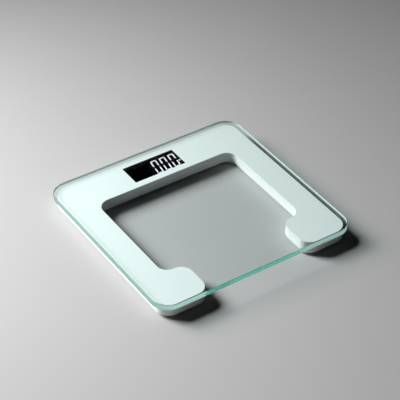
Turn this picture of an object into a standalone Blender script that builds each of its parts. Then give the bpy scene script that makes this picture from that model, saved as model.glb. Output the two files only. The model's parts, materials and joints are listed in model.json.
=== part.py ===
"""Digital personal scale: a clear glass platform bonded to a U-shaped plastic housing on four feet.

A load cell sits over each foot, the display and the board are in the beam at the back, and the
two battery cells lie in the right arm. Metres, +Z up. The origin is on the floor under the
middle of the platform; +Y runs towards the display and +X to the right of someone reading it.
"""

import math

import bmesh
import bpy
from mathutils import Vector

# ---- Driving dimensions -------------------------------------------------------------------

# Glass platform
GLASS_W = 0.310
GLASS_D = 0.300
GLASS_T = 0.008
GLASS_CORNER_R = 0.026
GLASS_ARRIS = 0.0005

# Housing outline, seen from above. The margins are clear space inside its walls
EDGE_GAP_X = 0.0060
EDGE_GAP_Y = 0.0055
HOUSING_CORNER_R = 0.0205
LOBE_MARGIN = 0.0036
BEAM_FOOT_MARGIN = 0.0031
BEAM_DISPLAY_MARGIN = 0.00475
BAY_CORNER_R = 0.0170
NECK_R = 0.0160
LOBE_CORNER_R = 0.0175

# Housing heights and walls
FOOT_PROUD = 0.0025
COVER_H = 0.0057
WALL = 0.0022
COVER_EDGE_R = 0.0050
BAY_EDGE_R = 0.0012
SHELL_EDGE = 0.0005
FILM_T = 0.0004
FILM_INSET = 0.0012

# Gap between pieces that touch, and clearance round pieces that move
GAP = 0.0003
RUNNING = 0.0007

# Display window and what is behind it. The chip's dome is in shares of its radius and height
LENS_W = 0.0823
LENS_D = 0.0365
LENS_T = 0.0016
LENS_CORNER_R = 0.0010
LCD_LAP = 0.0020
LCD_T = 0.0022
LCD_FRAME_WALL = 0.0018
BACKLIGHT_T = 0.0021
ZEBRA_D = 0.0024
BOARD_T = 0.0016
BOARD_MARGIN_X = 0.0065
CHIP_R = 0.0060
CHIP_H = 0.0012
CHIP_X = 0.0120
CHIP_DOME = ((0.4, 1.0), (0.8, 0.7), (1.0, 0.0))

# Unit button and its switch
BUTTON_W = 0.0130
BUTTON_D = 0.0065
BUTTON_X = -0.0280
BUTTON_FLANGE = 0.0010
BUTTON_FLANGE_T = 0.0006
BUTTON_TRAVEL = 0.0005
BUTTON_SUNK = 0.0003
BUTTON_STEM_R = 0.0022
SWITCH_W = 0.0062
SWITCH_T = 0.0020
PLUNGER_R = 0.0017
PLUNGER_H = 0.0005

# Feet
FOOT_R = 0.0215
FOOT_FLANGE = 0.0025
FOOT_FLANGE_T = 0.0015
FOOT_FLANGE_GAP = 0.0005
FOOT_BOTTOM = 0.0008
FOOT_EDGE = 0.0007
FOOT_BOSS_R = 0.0080
FOOT_TIP_R = 0.0040
FOOT_TRAVEL = 0.0004
FOOT_RIM = 0.0029
FOOT_WALL_GAP = 0.0078
PAD_T = 0.0023
PAD_EDGE = 0.0008

# Load cells: a steel plate with a centre tongue, held by its rim in a plastic holder
CELL_W = 0.0340
CELL_T = 0.0016
CELL_SLOT = 0.0030
CELL_RIM = 0.0055
TONGUE_W = 0.0110
HOLDER_WALL = 0.0028
HOLDER_ROOF = 0.0033
HOLDER_LEDGE = 0.0040
GAUGE_W = 0.0100
GAUGE_D = 0.0080
GAUGE_T = 0.0010
GAUGE_SLOPE = 0.0010

# Battery compartment: two AAA cells side by side along Y
CELL_R = 0.00525
CELL_LENGTH = 0.0437
NUB_R = 0.0019
NUB_H = 0.0008
CELL_SIDE_GAP = 0.0004
CELL_HEADROOM = 0.0008
CELL_LANE = 0.0061
CELL_OUTER_MARGIN = 0.0080
CONTACT_T = 0.0004
CONTACT_H = 0.0085
CONTACT_BUMP = 0.0012
CONTACT_MARGIN = 0.0003
RIB_T = 0.0012
DOOR_MARGIN_X = 0.0012
DOOR_MARGIN_Y = 0.0022
DOOR_CORNER_R = 0.0020
PIN_R = 0.0007
PIN_LENGTH = 0.0012

# Screws. A pan head's profile is in shares of its radius and height, from its crown
SCREW_R = 0.0014
SCREW_HEAD_R = 0.0028
SCREW_HEAD_H = 0.0018
SCREW_LENGTH = 0.0085
SCREW_POINT_R = 0.0004
SCREW_SUNK = 0.0002
PAN_HEAD = ((0.55, 0.0), (0.90, 0.25), (1.0, 0.7), (1.0, 1.0))
BOSS_WALL = 0.0018
WELL_WALL = 0.0012
ARM_SCREW_FROM_BEAM = 0.0240
ARM_SCREW_FROM_LOBE = 0.0230
LOBE_SCREW_CLEAR = 0.0008
LOBE_SCREW_TO_FOOT = 0.0019
BOARD_SCREW_R = 0.0010
BOARD_SCREW_HEAD_R = 0.0022
BOARD_SCREW_HEAD_H = 0.0014
BOARD_SCREW_LENGTH = 0.0040
BOARD_SCREW_Y = 0.0135

# Leads
LEAD_R = 0.0012
POWER_LEAD_R = 0.0010
LEAD_WALL_GAP = 0.0028
LEAD_CORNER_GAP = 0.0019
LEAD_TO_BOARD = 0.0016

# Roundness: steps in a corner or a circle, and the corner radius of square-cornered pieces
CORNER_STEPS = 6
GLASS_CORNER_STEPS = 10
FOOT_STEPS = 28
SMALL_STEPS = 14
HOLE_STEPS = 12
BATTERY_STEPS = 20
DOOR_EDGE_STEPS = 6
SHARP_R = 0.0001
SMOOTH_ANGLE = math.radians(35)

# ---- Sizes that follow from them ----------------------------------------------------------

HOUSING_X = GLASS_W / 2 - EDGE_GAP_X
HOUSING_Y = GLASS_D / 2 - EDGE_GAP_Y

FLANGE_R = FOOT_R + FOOT_FLANGE
BOSS_R = SCREW_R + GAP + BOSS_WALL
WELL_R = SCREW_HEAD_R + GAP + WELL_WALL
LCD_W = LENS_W + 2 * LCD_LAP
LCD_D = LENS_D + 2 * LCD_LAP
FRAME_W = LCD_W + 2 * (GAP + LCD_FRAME_WALL)
FRAME_D = LCD_D + 2 * (GAP + LCD_FRAME_WALL)
BOARD_W = FRAME_W + 2 * BOARD_MARGIN_X

# Each stretch of the housing is as wide as what it holds: an arm the battery cells beside a lane
# for leads, a lobe a foot and a screw, and the beam the display or a foot
ARM_W = WALL + CELL_LANE + CELL_SIDE_GAP + 4 * CELL_R + CELL_OUTER_MARGIN
LOBE_W = 2 * (WALL + FLANGE_R + WELL_R) + FOOT_WALL_GAP + LOBE_SCREW_CLEAR + LOBE_SCREW_TO_FOOT
LOBE_D = 2 * (WALL + FLANGE_R + LOBE_MARGIN)
BEAM_D = 2 * (WALL + max(FLANGE_R + BEAM_FOOT_MARGIN, FRAME_D / 2 + BEAM_DISPLAY_MARGIN))
ARM_X = HOUSING_X - ARM_W
BEAM_Y = HOUSING_Y - BEAM_D
LOBE_X = HOUSING_X - LOBE_W
LOBE_Y = LOBE_D - HOUSING_Y

# The housing is just deep enough for the battery cells
Z_COVER = FOOT_PROUD
Z_INSIDE = Z_COVER + WALL
Z_SPLIT = Z_COVER + COVER_H
Z_CEILING = Z_INSIDE + GAP + 2 * CELL_R + CELL_HEADROOM
Z_SHELL_TOP = Z_CEILING + WALL
Z_FILM = Z_SHELL_TOP + GAP
Z_GLASS = Z_FILM + FILM_T + GAP

DISPLAY_Y = HOUSING_Y - BEAM_D / 2
Z_LCD = Z_CEILING - GAP - LCD_T
Z_BACKLIGHT = Z_LCD - GAP - BACKLIGHT_T
Z_BOARD = Z_BACKLIGHT - GAP - BOARD_T
Z_UNDER_BOARD = Z_BOARD - GAP
Z_PLUNGER = Z_UNDER_BOARD - SWITCH_T - PLUNGER_H

FOOT_X = HOUSING_X - WALL - FOOT_WALL_GAP - FLANGE_R
FOOT_FRONT_Y = LOBE_D / 2 - HOUSING_Y
FOOT_BACK_Y = HOUSING_Y - BEAM_D / 2
PAD_R = FOOT_R - FOOT_RIM - GAP
Z_HOLDER_TOP = Z_CEILING - GAP
Z_CELL = Z_HOLDER_TOP - HOLDER_ROOF - GAP - CELL_T
Z_FOOT_TIP = Z_CELL - FOOT_TRAVEL - GAP
HOLDER_W = CELL_W + 2 * (GAP + HOLDER_WALL)

BATTERY_X = HOUSING_X - CELL_OUTER_MARGIN - CELL_SIDE_GAP / 2 - 2 * CELL_R
BATTERY_Z = Z_INSIDE + GAP + CELL_R
BATTERY_END = CELL_LENGTH / 2 + NUB_H + GAP + CONTACT_BUMP
DOOR_W = 2 * (2 * CELL_R + CELL_SIDE_GAP / 2 + DOOR_MARGIN_X)
DOOR_L = 2 * (CELL_LENGTH / 2 + NUB_H + DOOR_MARGIN_Y)

Z_WELL = Z_COVER + SCREW_SUNK + SCREW_HEAD_H + GAP + WALL
Z_BOSS = Z_WELL + GAP

FEET = {
    "front_left": (-FOOT_X, FOOT_FRONT_Y),
    "front_right": (FOOT_X, FOOT_FRONT_Y),
    "back_left": (-FOOT_X, FOOT_BACK_Y),
    "back_right": (FOOT_X, FOOT_BACK_Y),
}

# One screw in each lobe and half beam, and two along each arm
LOBE_SCREW_X = LOBE_X + WALL + WELL_R + LOBE_SCREW_CLEAR
BEAM_SCREW_X = (BOARD_W / 2 + FOOT_X - FLANGE_R) / 2
ARM_SCREW_X = HOUSING_X - ARM_W / 2
COVER_SCREWS = {}
for side_name, side_sign in (("left", -1), ("right", 1)):
    COVER_SCREWS["cover_screw_lobe_" + side_name] = (side_sign * LOBE_SCREW_X, FOOT_FRONT_Y)
    COVER_SCREWS["cover_screw_beam_" + side_name] = (side_sign * BEAM_SCREW_X, DISPLAY_Y)
    COVER_SCREWS["cover_screw_arm_front_" + side_name] = (
        side_sign * ARM_SCREW_X,
        LOBE_Y + ARM_SCREW_FROM_LOBE,
    )
    COVER_SCREWS["cover_screw_arm_back_" + side_name] = (
        side_sign * ARM_SCREW_X,
        BEAM_Y - ARM_SCREW_FROM_BEAM,
    )
BOARD_SCREWS = {
    "board_screw_left": (-(FRAME_W + BOARD_MARGIN_X) / 2, DISPLAY_Y + BOARD_SCREW_Y),
    "board_screw_right": ((FRAME_W + BOARD_MARGIN_X) / 2, DISPLAY_Y + BOARD_SCREW_Y),
}


# ---- Materials ----------------------------------------------------------------------------


def material(name, colour, roughness, metallic=0.0, transmission=0.0):
    """A Principled material in one linear colour."""
    made = bpy.data.materials.new(name)
    made.use_nodes = True
    shader = made.node_tree.nodes["Principled BSDF"]
    shader.inputs["Base Color"].default_value = (*colour, 1.0)
    shader.inputs["Roughness"].default_value = roughness
    shader.inputs["Metallic"].default_value = metallic
    shader.inputs["Transmission Weight"].default_value = transmission
    made.diffuse_color = (*colour, 1.0)
    return made


# ---- Outlines: closed lists of (x, y), anticlockwise seen from above -----------------------


def circle(radius, steps):
    """A regular polygon on the given radius."""
    turn = 2 * math.pi / steps
    return [(radius * math.cos(i * turn), radius * math.sin(i * turn)) for i in range(steps)]


def filleted(corners, steps):
    """An axis-aligned outline with round corners, pushed in by each side's inset.

    Each corner is (x, y, radius, inset), where the inset belongs to the side that leaves it. A
    radius is kept within its share of the two sides that meet there, and an inset shrinks a
    convex corner's radius and grows a concave one's.
    """
    points = []
    count = len(corners)
    places = [Vector(c[:2]) for c in corners]
    lengths = [(places[(i + 1) % count] - places[i]).length for i in range(count)]
    limits = []
    for i in range(count):
        after = lengths[i] / (corners[i][2] + corners[(i + 1) % count][2])
        limits.append(min(1.0, after))
    for i in range(count):
        way_in = (places[i] - places[i - 1]).normalized()
        way_out = (places[(i + 1) % count] - places[i]).normalized()
        radius = corners[i][2] * min(limits[i], limits[i - 1])
        convex = 1 if way_in.cross(way_out) > 0 else -1
        centre = places[i] + radius * (way_out - way_in)
        reach_in = radius - convex * corners[i - 1][3]
        reach_out = radius - convex * corners[i][3]
        for k in range(steps + 1):
            turn = math.pi / 2 * k / steps
            point = centre - way_out * reach_in * math.cos(turn) + way_in * reach_out * math.sin(turn)
            points.append((point.x, point.y))
    return points


def rectangle(width, depth, radius=SHARP_R, steps=1, centre=(0.0, 0.0)):
    """A rectangle with round corners."""
    x = width / 2
    y = depth / 2
    corners = [(-x, -y), (x, -y), (x, y), (-x, y)]
    placed = [(centre[0] + cx, centre[1] + cy, radius, 0.0) for cx, cy in corners]
    return filleted(placed, steps)


def housing_outline(inset, bay_inset=None):
    """The U seen from above. The outer sides move in by inset and the bay's sides by bay_inset."""
    bay = inset if bay_inset is None else bay_inset
    corners = [
        (-HOUSING_X, -HOUSING_Y, HOUSING_CORNER_R, inset),
        (-LOBE_X, -HOUSING_Y, LOBE_CORNER_R, bay),
        (-LOBE_X, LOBE_Y, LOBE_CORNER_R, bay),
        (-ARM_X, LOBE_Y, NECK_R, bay),
        (-ARM_X, BEAM_Y, BAY_CORNER_R, bay),
        (ARM_X, BEAM_Y, BAY_CORNER_R, bay),
        (ARM_X, LOBE_Y, NECK_R, bay),
        (LOBE_X, LOBE_Y, LOBE_CORNER_R, bay),
        (LOBE_X, -HOUSING_Y, LOBE_CORNER_R, inset),
        (HOUSING_X, -HOUSING_Y, HOUSING_CORNER_R, inset),
        (HOUSING_X, HOUSING_Y, HOUSING_CORNER_R, inset),
        (-HOUSING_X, HOUSING_Y, HOUSING_CORNER_R, inset),
    ]
    return filleted(corners, CORNER_STEPS)


# ---- Solids -------------------------------------------------------------------------------


def add_sides(bm, sections, at=(0.0, 0.0), ring=False):
    """Adds the sides that run through sections, each (outline, z). A ring's last meets its first."""
    loops = []
    for outline, z in sections:
        loops.append([bm.verts.new((x + at[0], y + at[1], z)) for x, y in outline])
    following = loops[1:] + loops[:1] if ring else loops[1:]
    for low, high in zip(loops, following):
        for i in range(len(low)):
            j = (i + 1) % len(low)
            bm.faces.new((low[i], low[j], high[j], high[i]))
    return loops


def add_loft(bm, sections, at=(0.0, 0.0)):
    """Adds a closed solid that runs through sections, with a cap at each end."""
    loops = add_sides(bm, sections, at)
    bm.faces.new(list(reversed(loops[0])))
    bm.faces.new(loops[-1])


def add_turned(bm, profile, steps, at=(0.0, 0.0)):
    """Adds a turned solid. The profile is (radius, z) from its underside round to its top."""
    add_loft(bm, [(circle(radius, steps), z) for radius, z in profile], at)


def finished_mesh(name, bm, look):
    """Makes bm a mesh in one material, shaded smooth over its gentle angles."""
    mesh = bpy.data.meshes.new(name)
    bm.to_mesh(mesh)
    bm.free()
    mesh.shade_smooth()
    mesh.set_sharp_from_angle(angle=SMOOTH_ANGLE)
    mesh.materials.append(look)
    return mesh


def piece(name, bm, look, at=(0.0, 0.0, 0.0), parent=None, helper=False):
    """Makes bm an object at a place under its parent."""
    return place(name, finished_mesh(name, bm, look), at, parent, helper)


def place(name, mesh, at=(0.0, 0.0, 0.0), parent=None, helper=False):
    """Puts an object with this mesh in the scene. A helper only shapes other pieces."""
    obj = bpy.data.objects.new(name, mesh)
    obj.location = at
    obj.parent = parent
    obj.hide_render = helper
    if helper:
        obj.display_type = "WIRE"
    bpy.context.scene.collection.objects.link(obj)
    return obj


def empty(name, at):
    """An axis or seat that pieces are placed from."""
    made = bpy.data.objects.new(name, None)
    made.location = at
    made.empty_display_size = 0.01
    bpy.context.scene.collection.objects.link(made)
    return made


def combine(target, helper, operation):
    """Adds a helper's solids to a piece, or cuts them from it."""
    boolean = target.modifiers.new(operation.lower() + "_" + helper.name, "BOOLEAN")
    boolean.operation = operation
    boolean.solver = "EXACT"
    boolean.object = helper


# ---- Glass, bond film and housing ---------------------------------------------------------


def make_glass(looks):
    """The tempered plate, with an arris ground along its edges."""
    x = GLASS_W / 2
    y = GLASS_D / 2
    outlines = {}
    for inset in (0.0, GLASS_ARRIS):
        corners = [(-x, -y), (x, -y), (x, y), (-x, y)]
        placed = [(cx, cy, GLASS_CORNER_R, inset) for cx, cy in corners]
        outlines[inset] = filleted(placed, GLASS_CORNER_STEPS)
    bm = bmesh.new()
    sections = [
        (outlines[GLASS_ARRIS], 0.0),
        (outlines[0.0], GLASS_ARRIS),
        (outlines[0.0], GLASS_T - GLASS_ARRIS),
        (outlines[GLASS_ARRIS], GLASS_T),
    ]
    add_loft(bm, sections)
    piece("glass_platform", bm, looks["glass"], (0.0, 0.0, Z_GLASS))


def make_film(looks, window):
    """The adhesive film between the glass and the housing."""
    bm = bmesh.new()
    add_loft(bm, [(housing_outline(FILM_INSET), Z_FILM), (housing_outline(FILM_INSET), Z_FILM + FILM_T)])
    film = piece("bond_film", bm, looks["film"])
    combine(film, window, "DIFFERENCE")


def make_window_cutter(looks):
    """The display's opening through the film and the shell."""
    bm = bmesh.new()
    outline = rectangle(LENS_W + 2 * GAP, LENS_D + 2 * GAP, LENS_CORNER_R, 3, (0.0, DISPLAY_Y))
    add_loft(bm, [(outline, Z_CEILING - WALL), (outline, Z_GLASS)])
    return piece("window_cutter", bm, looks["film"], helper=True)


def make_upper_housing(looks, window):
    """The shell under the glass: a flat top, walls all round, screw bosses and battery ribs."""
    bm = bmesh.new()
    sections = [
        (housing_outline(WALL), Z_CEILING),
        (housing_outline(WALL), Z_SPLIT + GAP),
        (housing_outline(0.0), Z_SPLIT + GAP),
        (housing_outline(0.0), Z_SHELL_TOP - SHELL_EDGE),
        (housing_outline(SHELL_EDGE), Z_SHELL_TOP),
    ]
    add_loft(bm, sections)
    shell = piece("upper_housing", bm, looks["white"])

    bm = bmesh.new()
    root = Z_CEILING + WALL / 2
    for x, y in COVER_SCREWS.values():
        add_turned(bm, [(BOSS_R, Z_BOSS), (BOSS_R, root)], SMALL_STEPS, (x, y))
    for x, y in BOARD_SCREWS.values():
        low = Z_BOARD + BOARD_T + GAP
        add_turned(bm, [(BOARD_SCREW_HEAD_R, low), (BOARD_SCREW_HEAD_R, root)], SMALL_STEPS, (x, y))
    for end in (-1, 1):
        middle = end * (BATTERY_END + CONTACT_T + GAP + RIB_T / 2)
        rib = rectangle(4 * CELL_R, RIB_T, centre=(BATTERY_X, middle))
        add_loft(bm, [(rib, Z_INSIDE + GAP), (rib, root)])
    combine(shell, piece("housing_bosses", bm, looks["white"], helper=True), "UNION")

    bm = bmesh.new()
    for x, y in COVER_SCREWS.values():
        hole = [(SCREW_R + GAP, Z_COVER), (SCREW_R + GAP, Z_WELL + SCREW_LENGTH - WALL)]
        add_turned(bm, hole, HOLE_STEPS, (x, y))
    for x, y in BOARD_SCREWS.values():
        hole = [(BOARD_SCREW_R + GAP, Z_COVER), (BOARD_SCREW_R + GAP, Z_BOARD + BOARD_SCREW_LENGTH + GAP)]
        add_turned(bm, hole, HOLE_STEPS, (x, y))
    combine(shell, piece("housing_holes", bm, looks["white"], helper=True), "DIFFERENCE")
    combine(shell, window, "DIFFERENCE")


def door_opening():
    """The battery door's opening: square corners at its hinge and round ones at its free end."""
    x = DOOR_W / 2 + GAP
    y = DOOR_L / 2 + GAP
    corners = [(-x, -y, GAP), (x, -y, GAP), (x, y, DOOR_CORNER_R), (-x, y, DOOR_CORNER_R)]
    return filleted([(BATTERY_X + cx, cy, radius, 0.0) for cx, cy, radius in corners], 3)


def edge_inset(height, radius):
    """How far a round lower edge is set in at this height above its bottom."""
    if height >= radius:
        return 0.0
    return radius - math.sqrt(radius**2 - (radius - height) ** 2)


def make_bottom_cover(looks):
    """The tray that closes the housing from below, with openings for the feet, door and button."""
    bm = bmesh.new()
    sections = []
    halfway = (BAY_EDGE_R + COVER_EDGE_R) / 2
    for height in (0.0, BAY_EDGE_R / 3, BAY_EDGE_R, halfway, COVER_EDGE_R, COVER_H):
        outline = housing_outline(edge_inset(height, COVER_EDGE_R), edge_inset(height, BAY_EDGE_R))
        sections.append((outline, Z_COVER + height))
    sections.append((housing_outline(WALL), Z_SPLIT))
    sections.append((housing_outline(WALL), Z_COVER + COVER_EDGE_R))
    sections.append((housing_outline(COVER_EDGE_R, WALL), Z_INSIDE))
    add_loft(bm, sections)
    cover = piece("bottom_cover", bm, looks["white"])

    bm = bmesh.new()
    for x, y in COVER_SCREWS.values():
        add_turned(bm, [(WELL_R, Z_INSIDE - WALL / 2), (WELL_R, Z_WELL)], SMALL_STEPS, (x, y))
    combine(cover, piece("cover_wells", bm, looks["white"], helper=True), "UNION")

    bm = bmesh.new()
    below = Z_COVER - WALL
    for x, y in COVER_SCREWS.values():
        head_room = Z_COVER + SCREW_SUNK + SCREW_HEAD_H + GAP
        hole = [
            (SCREW_HEAD_R + GAP, below),
            (SCREW_HEAD_R + GAP, head_room),
            (SCREW_R + GAP, head_room),
            (SCREW_R + GAP, Z_WELL + GAP),
        ]
        add_turned(bm, hole, HOLE_STEPS, (x, y))
    for x, y in FEET.values():
        hole = [(FOOT_R + RUNNING, below), (FOOT_R + RUNNING, Z_INSIDE + WALL)]
        add_turned(bm, hole, FOOT_STEPS, (x, y))
    door = door_opening()
    add_loft(bm, [(door, below), (door, Z_INSIDE + GAP)])
    button = rectangle(BUTTON_W + 2 * GAP, BUTTON_D + 2 * GAP, BUTTON_D / 6, 2, (BUTTON_X, DISPLAY_Y))
    add_loft(bm, [(button, below), (button, Z_INSIDE + GAP)])
    combine(cover, piece("cover_openings", bm, looks["white"], helper=True), "DIFFERENCE")

    bm = bmesh.new()
    notch = rectangle(DOOR_W + 2 * (PIN_LENGTH + GAP), 2 * (PIN_R + GAP), centre=(BATTERY_X, hinge_y()))
    add_loft(bm, [(notch, below), (notch, Z_INSIDE + GAP)])
    combine(cover, piece("hinge_notch_cutter", bm, looks["white"], helper=True), "DIFFERENCE")


# ---- Display, board and button ------------------------------------------------------------


def make_display(looks):
    """The dark lens in the window, and the panel, frame, light guide and connector behind it."""
    seat = empty("display_seat", (0.0, DISPLAY_Y, 0.0))
    bm = bmesh.new()
    outline = rectangle(LENS_W, LENS_D, LENS_CORNER_R, 3)
    top = Z_FILM + FILM_T
    add_loft(bm, [(outline, top - LENS_T), (outline, top)])
    piece("display_lens", bm, looks["lens"], parent=seat)

    bm = bmesh.new()
    outline = rectangle(LCD_W, LCD_D)
    add_loft(bm, [(outline, 0.0), (outline, LCD_T)])
    piece("lcd_panel", bm, looks["lcd"], (0.0, 0.0, Z_LCD), seat)

    bm = bmesh.new()
    outer = rectangle(FRAME_W, FRAME_D, LCD_FRAME_WALL / 2)
    inner = rectangle(LCD_W + 2 * GAP, LCD_D + 2 * GAP)
    height = BACKLIGHT_T + GAP + LCD_T
    add_sides(bm, [(outer, 0.0), (outer, height), (inner, height), (inner, 0.0)], ring=True)
    piece("lcd_frame", bm, looks["white"], (0.0, 0.0, Z_BACKLIGHT), seat)

    front = -LCD_D / 2
    bm = bmesh.new()
    outline = rectangle(LCD_W - 2 * LCD_LAP, ZEBRA_D, centre=(0.0, front + ZEBRA_D / 2))
    add_loft(bm, [(outline, 0.0), (outline, BACKLIGHT_T)])
    piece("zebra_connector", bm, looks["zebra"], (0.0, 0.0, Z_BACKLIGHT), seat)

    bm = bmesh.new()
    depth = LCD_D - ZEBRA_D - GAP
    outline = rectangle(LCD_W, depth, centre=(0.0, (ZEBRA_D + GAP) / 2))
    add_loft(bm, [(outline, 0.0), (outline, BACKLIGHT_T)])
    piece("backlight_guide", bm, looks["guide"], (0.0, 0.0, Z_BACKLIGHT), seat)
    return seat


def make_board(looks, seat):
    """The board under the display, the sealed chip and the switch below it, and its screws."""
    bm = bmesh.new()
    outline = rectangle(BOARD_W, FRAME_D, LCD_FRAME_WALL / 2)
    add_loft(bm, [(outline, 0.0), (outline, BOARD_T)])
    board = piece("main_board", bm, looks["board"], (0.0, 0.0, Z_BOARD), seat)
    bm = bmesh.new()
    for x, y in BOARD_SCREWS.values():
        hole = [(BOARD_SCREW_R + GAP, Z_BOARD - GAP), (BOARD_SCREW_R + GAP, Z_BOARD + BOARD_T + GAP)]
        add_turned(bm, hole, HOLE_STEPS, (x, y))
    combine(board, piece("board_holes", bm, looks["board"], helper=True), "DIFFERENCE")

    bm = bmesh.new()
    profile = [(out * CHIP_R, -down * CHIP_H) for out, down in CHIP_DOME]
    add_turned(bm, profile, SMALL_STEPS)
    piece("controller_chip", bm, looks["epoxy"], (CHIP_X, 0.0, Z_UNDER_BOARD), seat)

    bm = bmesh.new()
    outline = rectangle(SWITCH_W, SWITCH_W)
    add_loft(bm, [(outline, -SWITCH_T), (outline, 0.0)])
    switch = piece("unit_switch", bm, looks["steel"], (BUTTON_X, 0.0, Z_UNDER_BOARD), seat)
    bm = bmesh.new()
    add_turned(bm, [(PLUNGER_R, -SWITCH_T - PLUNGER_H), (PLUNGER_R, -SWITCH_T / 2)], HOLE_STEPS)
    plunger = piece("plunger", bm, looks["steel"], (BUTTON_X, 0.0, Z_UNDER_BOARD), seat, helper=True)
    combine(switch, plunger, "UNION")

    for name, (x, y) in BOARD_SCREWS.items():
        bm = bmesh.new()
        profile = pan_head(BOARD_SCREW_HEAD_R, BOARD_SCREW_HEAD_H, -BOARD_SCREW_HEAD_H)
        profile += [(BOARD_SCREW_R, 0.0), (BOARD_SCREW_R, BOARD_SCREW_LENGTH)]
        add_turned(bm, profile, HOLE_STEPS)
        piece(name, bm, looks["steel"], (x, y, Z_BOARD - GAP))


def make_button(looks):
    """The unit button in the cover: a sunk cap, a flange that keeps it in, and a stem."""
    bm = bmesh.new()
    cap = rectangle(BUTTON_W, BUTTON_D, BUTTON_D / 6, 2)
    flange = rectangle(BUTTON_W + 2 * BUTTON_FLANGE, BUTTON_D + 2 * BUTTON_FLANGE, BUTTON_D / 6, 2)
    flange_low = WALL + GAP - BUTTON_SUNK
    flange_top = flange_low + BUTTON_FLANGE_T
    add_loft(bm, [(cap, 0.0), (cap, flange_low), (flange, flange_low), (flange, flange_top)])
    at = (BUTTON_X, DISPLAY_Y, Z_COVER + BUTTON_SUNK)
    button = piece("unit_button", bm, looks["grey"], at)
    bm = bmesh.new()
    tip = Z_PLUNGER - BUTTON_TRAVEL - GAP - at[2]
    add_turned(bm, [(BUTTON_STEM_R, flange_low), (BUTTON_STEM_R, tip)], HOLE_STEPS)
    combine(button, piece("button_stem", bm, looks["grey"], at, helper=True), "UNION")


# ---- Feet and load cells ------------------------------------------------------------------


def foot_mesh(looks):
    """The foot: a cup for the pad, a flange inside the cover and a boss under the cell's tongue."""
    recess = FOOT_R - FOOT_RIM
    flange_low = Z_INSIDE + FOOT_FLANGE_GAP
    flange_top = flange_low + FOOT_FLANGE_T
    profile = [
        (recess, PAD_T + GAP),
        (recess, FOOT_BOTTOM),
        (FOOT_R - FOOT_EDGE, FOOT_BOTTOM),
        (FOOT_R, FOOT_BOTTOM + FOOT_EDGE),
        (FOOT_R, flange_low),
        (FLANGE_R, flange_low),
        (FLANGE_R, flange_top),
        (FOOT_BOSS_R, flange_top),
        (FOOT_TIP_R, Z_FOOT_TIP),
    ]
    bm = bmesh.new()
    add_turned(bm, profile, FOOT_STEPS)
    return finished_mesh("foot", bm, looks["grey"])


def pad_mesh(looks):
    """The soft pad that the scale stands on."""
    bm = bmesh.new()
    add_turned(bm, [(PAD_R - PAD_EDGE, 0.0), (PAD_R, PAD_EDGE), (PAD_R, PAD_T)], FOOT_STEPS)
    return finished_mesh("foot_pad", bm, looks["rubber"])


def cell_mesh(looks):
    """The load cell: a square steel plate whose centre tongue is joined to it along one side."""
    half = CELL_W / 2
    tongue = TONGUE_W / 2
    slot = tongue + CELL_SLOT
    head = half - CELL_RIM
    foot = CELL_SLOT - head
    bm = bmesh.new()
    outline = [
        (-half, -half),
        (half, -half),
        (half, half),
        (slot, half),
        (slot, foot - CELL_SLOT),
        (tongue, foot - CELL_SLOT),
        (tongue, head),
        (-tongue, head),
        (-tongue, foot - CELL_SLOT),
        (-slot, foot - CELL_SLOT),
        (-slot, half),
        (-half, half),
    ]
    add_loft(bm, [(outline, 0.0), (outline, CELL_T)])
    return finished_mesh("load_cell", bm, looks["steel"])


def holder_mesh(looks):
    """The frame that holds a load cell by its rim, open in the middle where the tongue bends."""
    outer = rectangle(HOLDER_W, HOLDER_W, HOLDER_WALL)
    pocket = rectangle(CELL_W + 2 * GAP, CELL_W + 2 * GAP)
    opening = rectangle(CELL_W - 2 * HOLDER_LEDGE, CELL_W - 2 * HOLDER_LEDGE)
    ledge = CELL_T + GAP
    top = ledge + HOLDER_ROOF
    sections = [
        (outer, 0.0),
        (outer, top),
        (opening, top),
        (opening, ledge),
        (pocket, ledge),
        (pocket, 0.0),
    ]
    bm = bmesh.new()
    add_sides(bm, sections, ring=True)
    return finished_mesh("cell_holder", bm, looks["white"])


def gauge_mesh(looks):
    """The sealant over a cell's strain gauges."""
    bm = bmesh.new()
    low = rectangle(GAUGE_W, GAUGE_D, 2 * GAUGE_SLOPE, 2)
    high = rectangle(GAUGE_W - 2 * GAUGE_SLOPE, GAUGE_D - 2 * GAUGE_SLOPE, GAUGE_SLOPE, 2)
    add_loft(bm, [(low, 0.0), (high, GAUGE_T)])
    return finished_mesh("gauge_seal", bm, looks["sealant"])


def make_feet(looks):
    """A foot, pad, load cell, holder and gauge seal at each corner, on one upright axis."""
    foot = foot_mesh(looks)
    pad = pad_mesh(looks)
    cell = cell_mesh(looks)
    holder = holder_mesh(looks)
    gauge = gauge_mesh(looks)
    for corner, (x, y) in FEET.items():
        axis = empty("foot_axis_" + corner, (x, y, 0.0))
        place("foot_" + corner, foot, parent=axis)
        place("foot_pad_" + corner, pad, parent=axis)
        place("load_cell_" + corner, cell, (0.0, 0.0, Z_CELL), axis)
        place("cell_holder_" + corner, holder, (0.0, 0.0, Z_CELL), axis)
        place("gauge_seal_" + corner, gauge, (0.0, 0.0, Z_CELL + CELL_T + GAP), axis)


# ---- Battery compartment ------------------------------------------------------------------


def hinge_y():
    """The battery door turns about a line along X at its front end."""
    return (WALL - DOOR_L) / 2


def add_bar_x(bm, radius, length, centre, steps):
    """Adds a cylinder along X."""
    start = len(bm.verts)
    add_turned(bm, [(radius, -length / 2), (radius, length / 2)], steps)
    bm.verts.ensure_lookup_table()
    for vertex in bm.verts[start:]:
        x, y, z = vertex.co
        vertex.co = Vector((z, x, y)) + Vector(centre)


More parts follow.
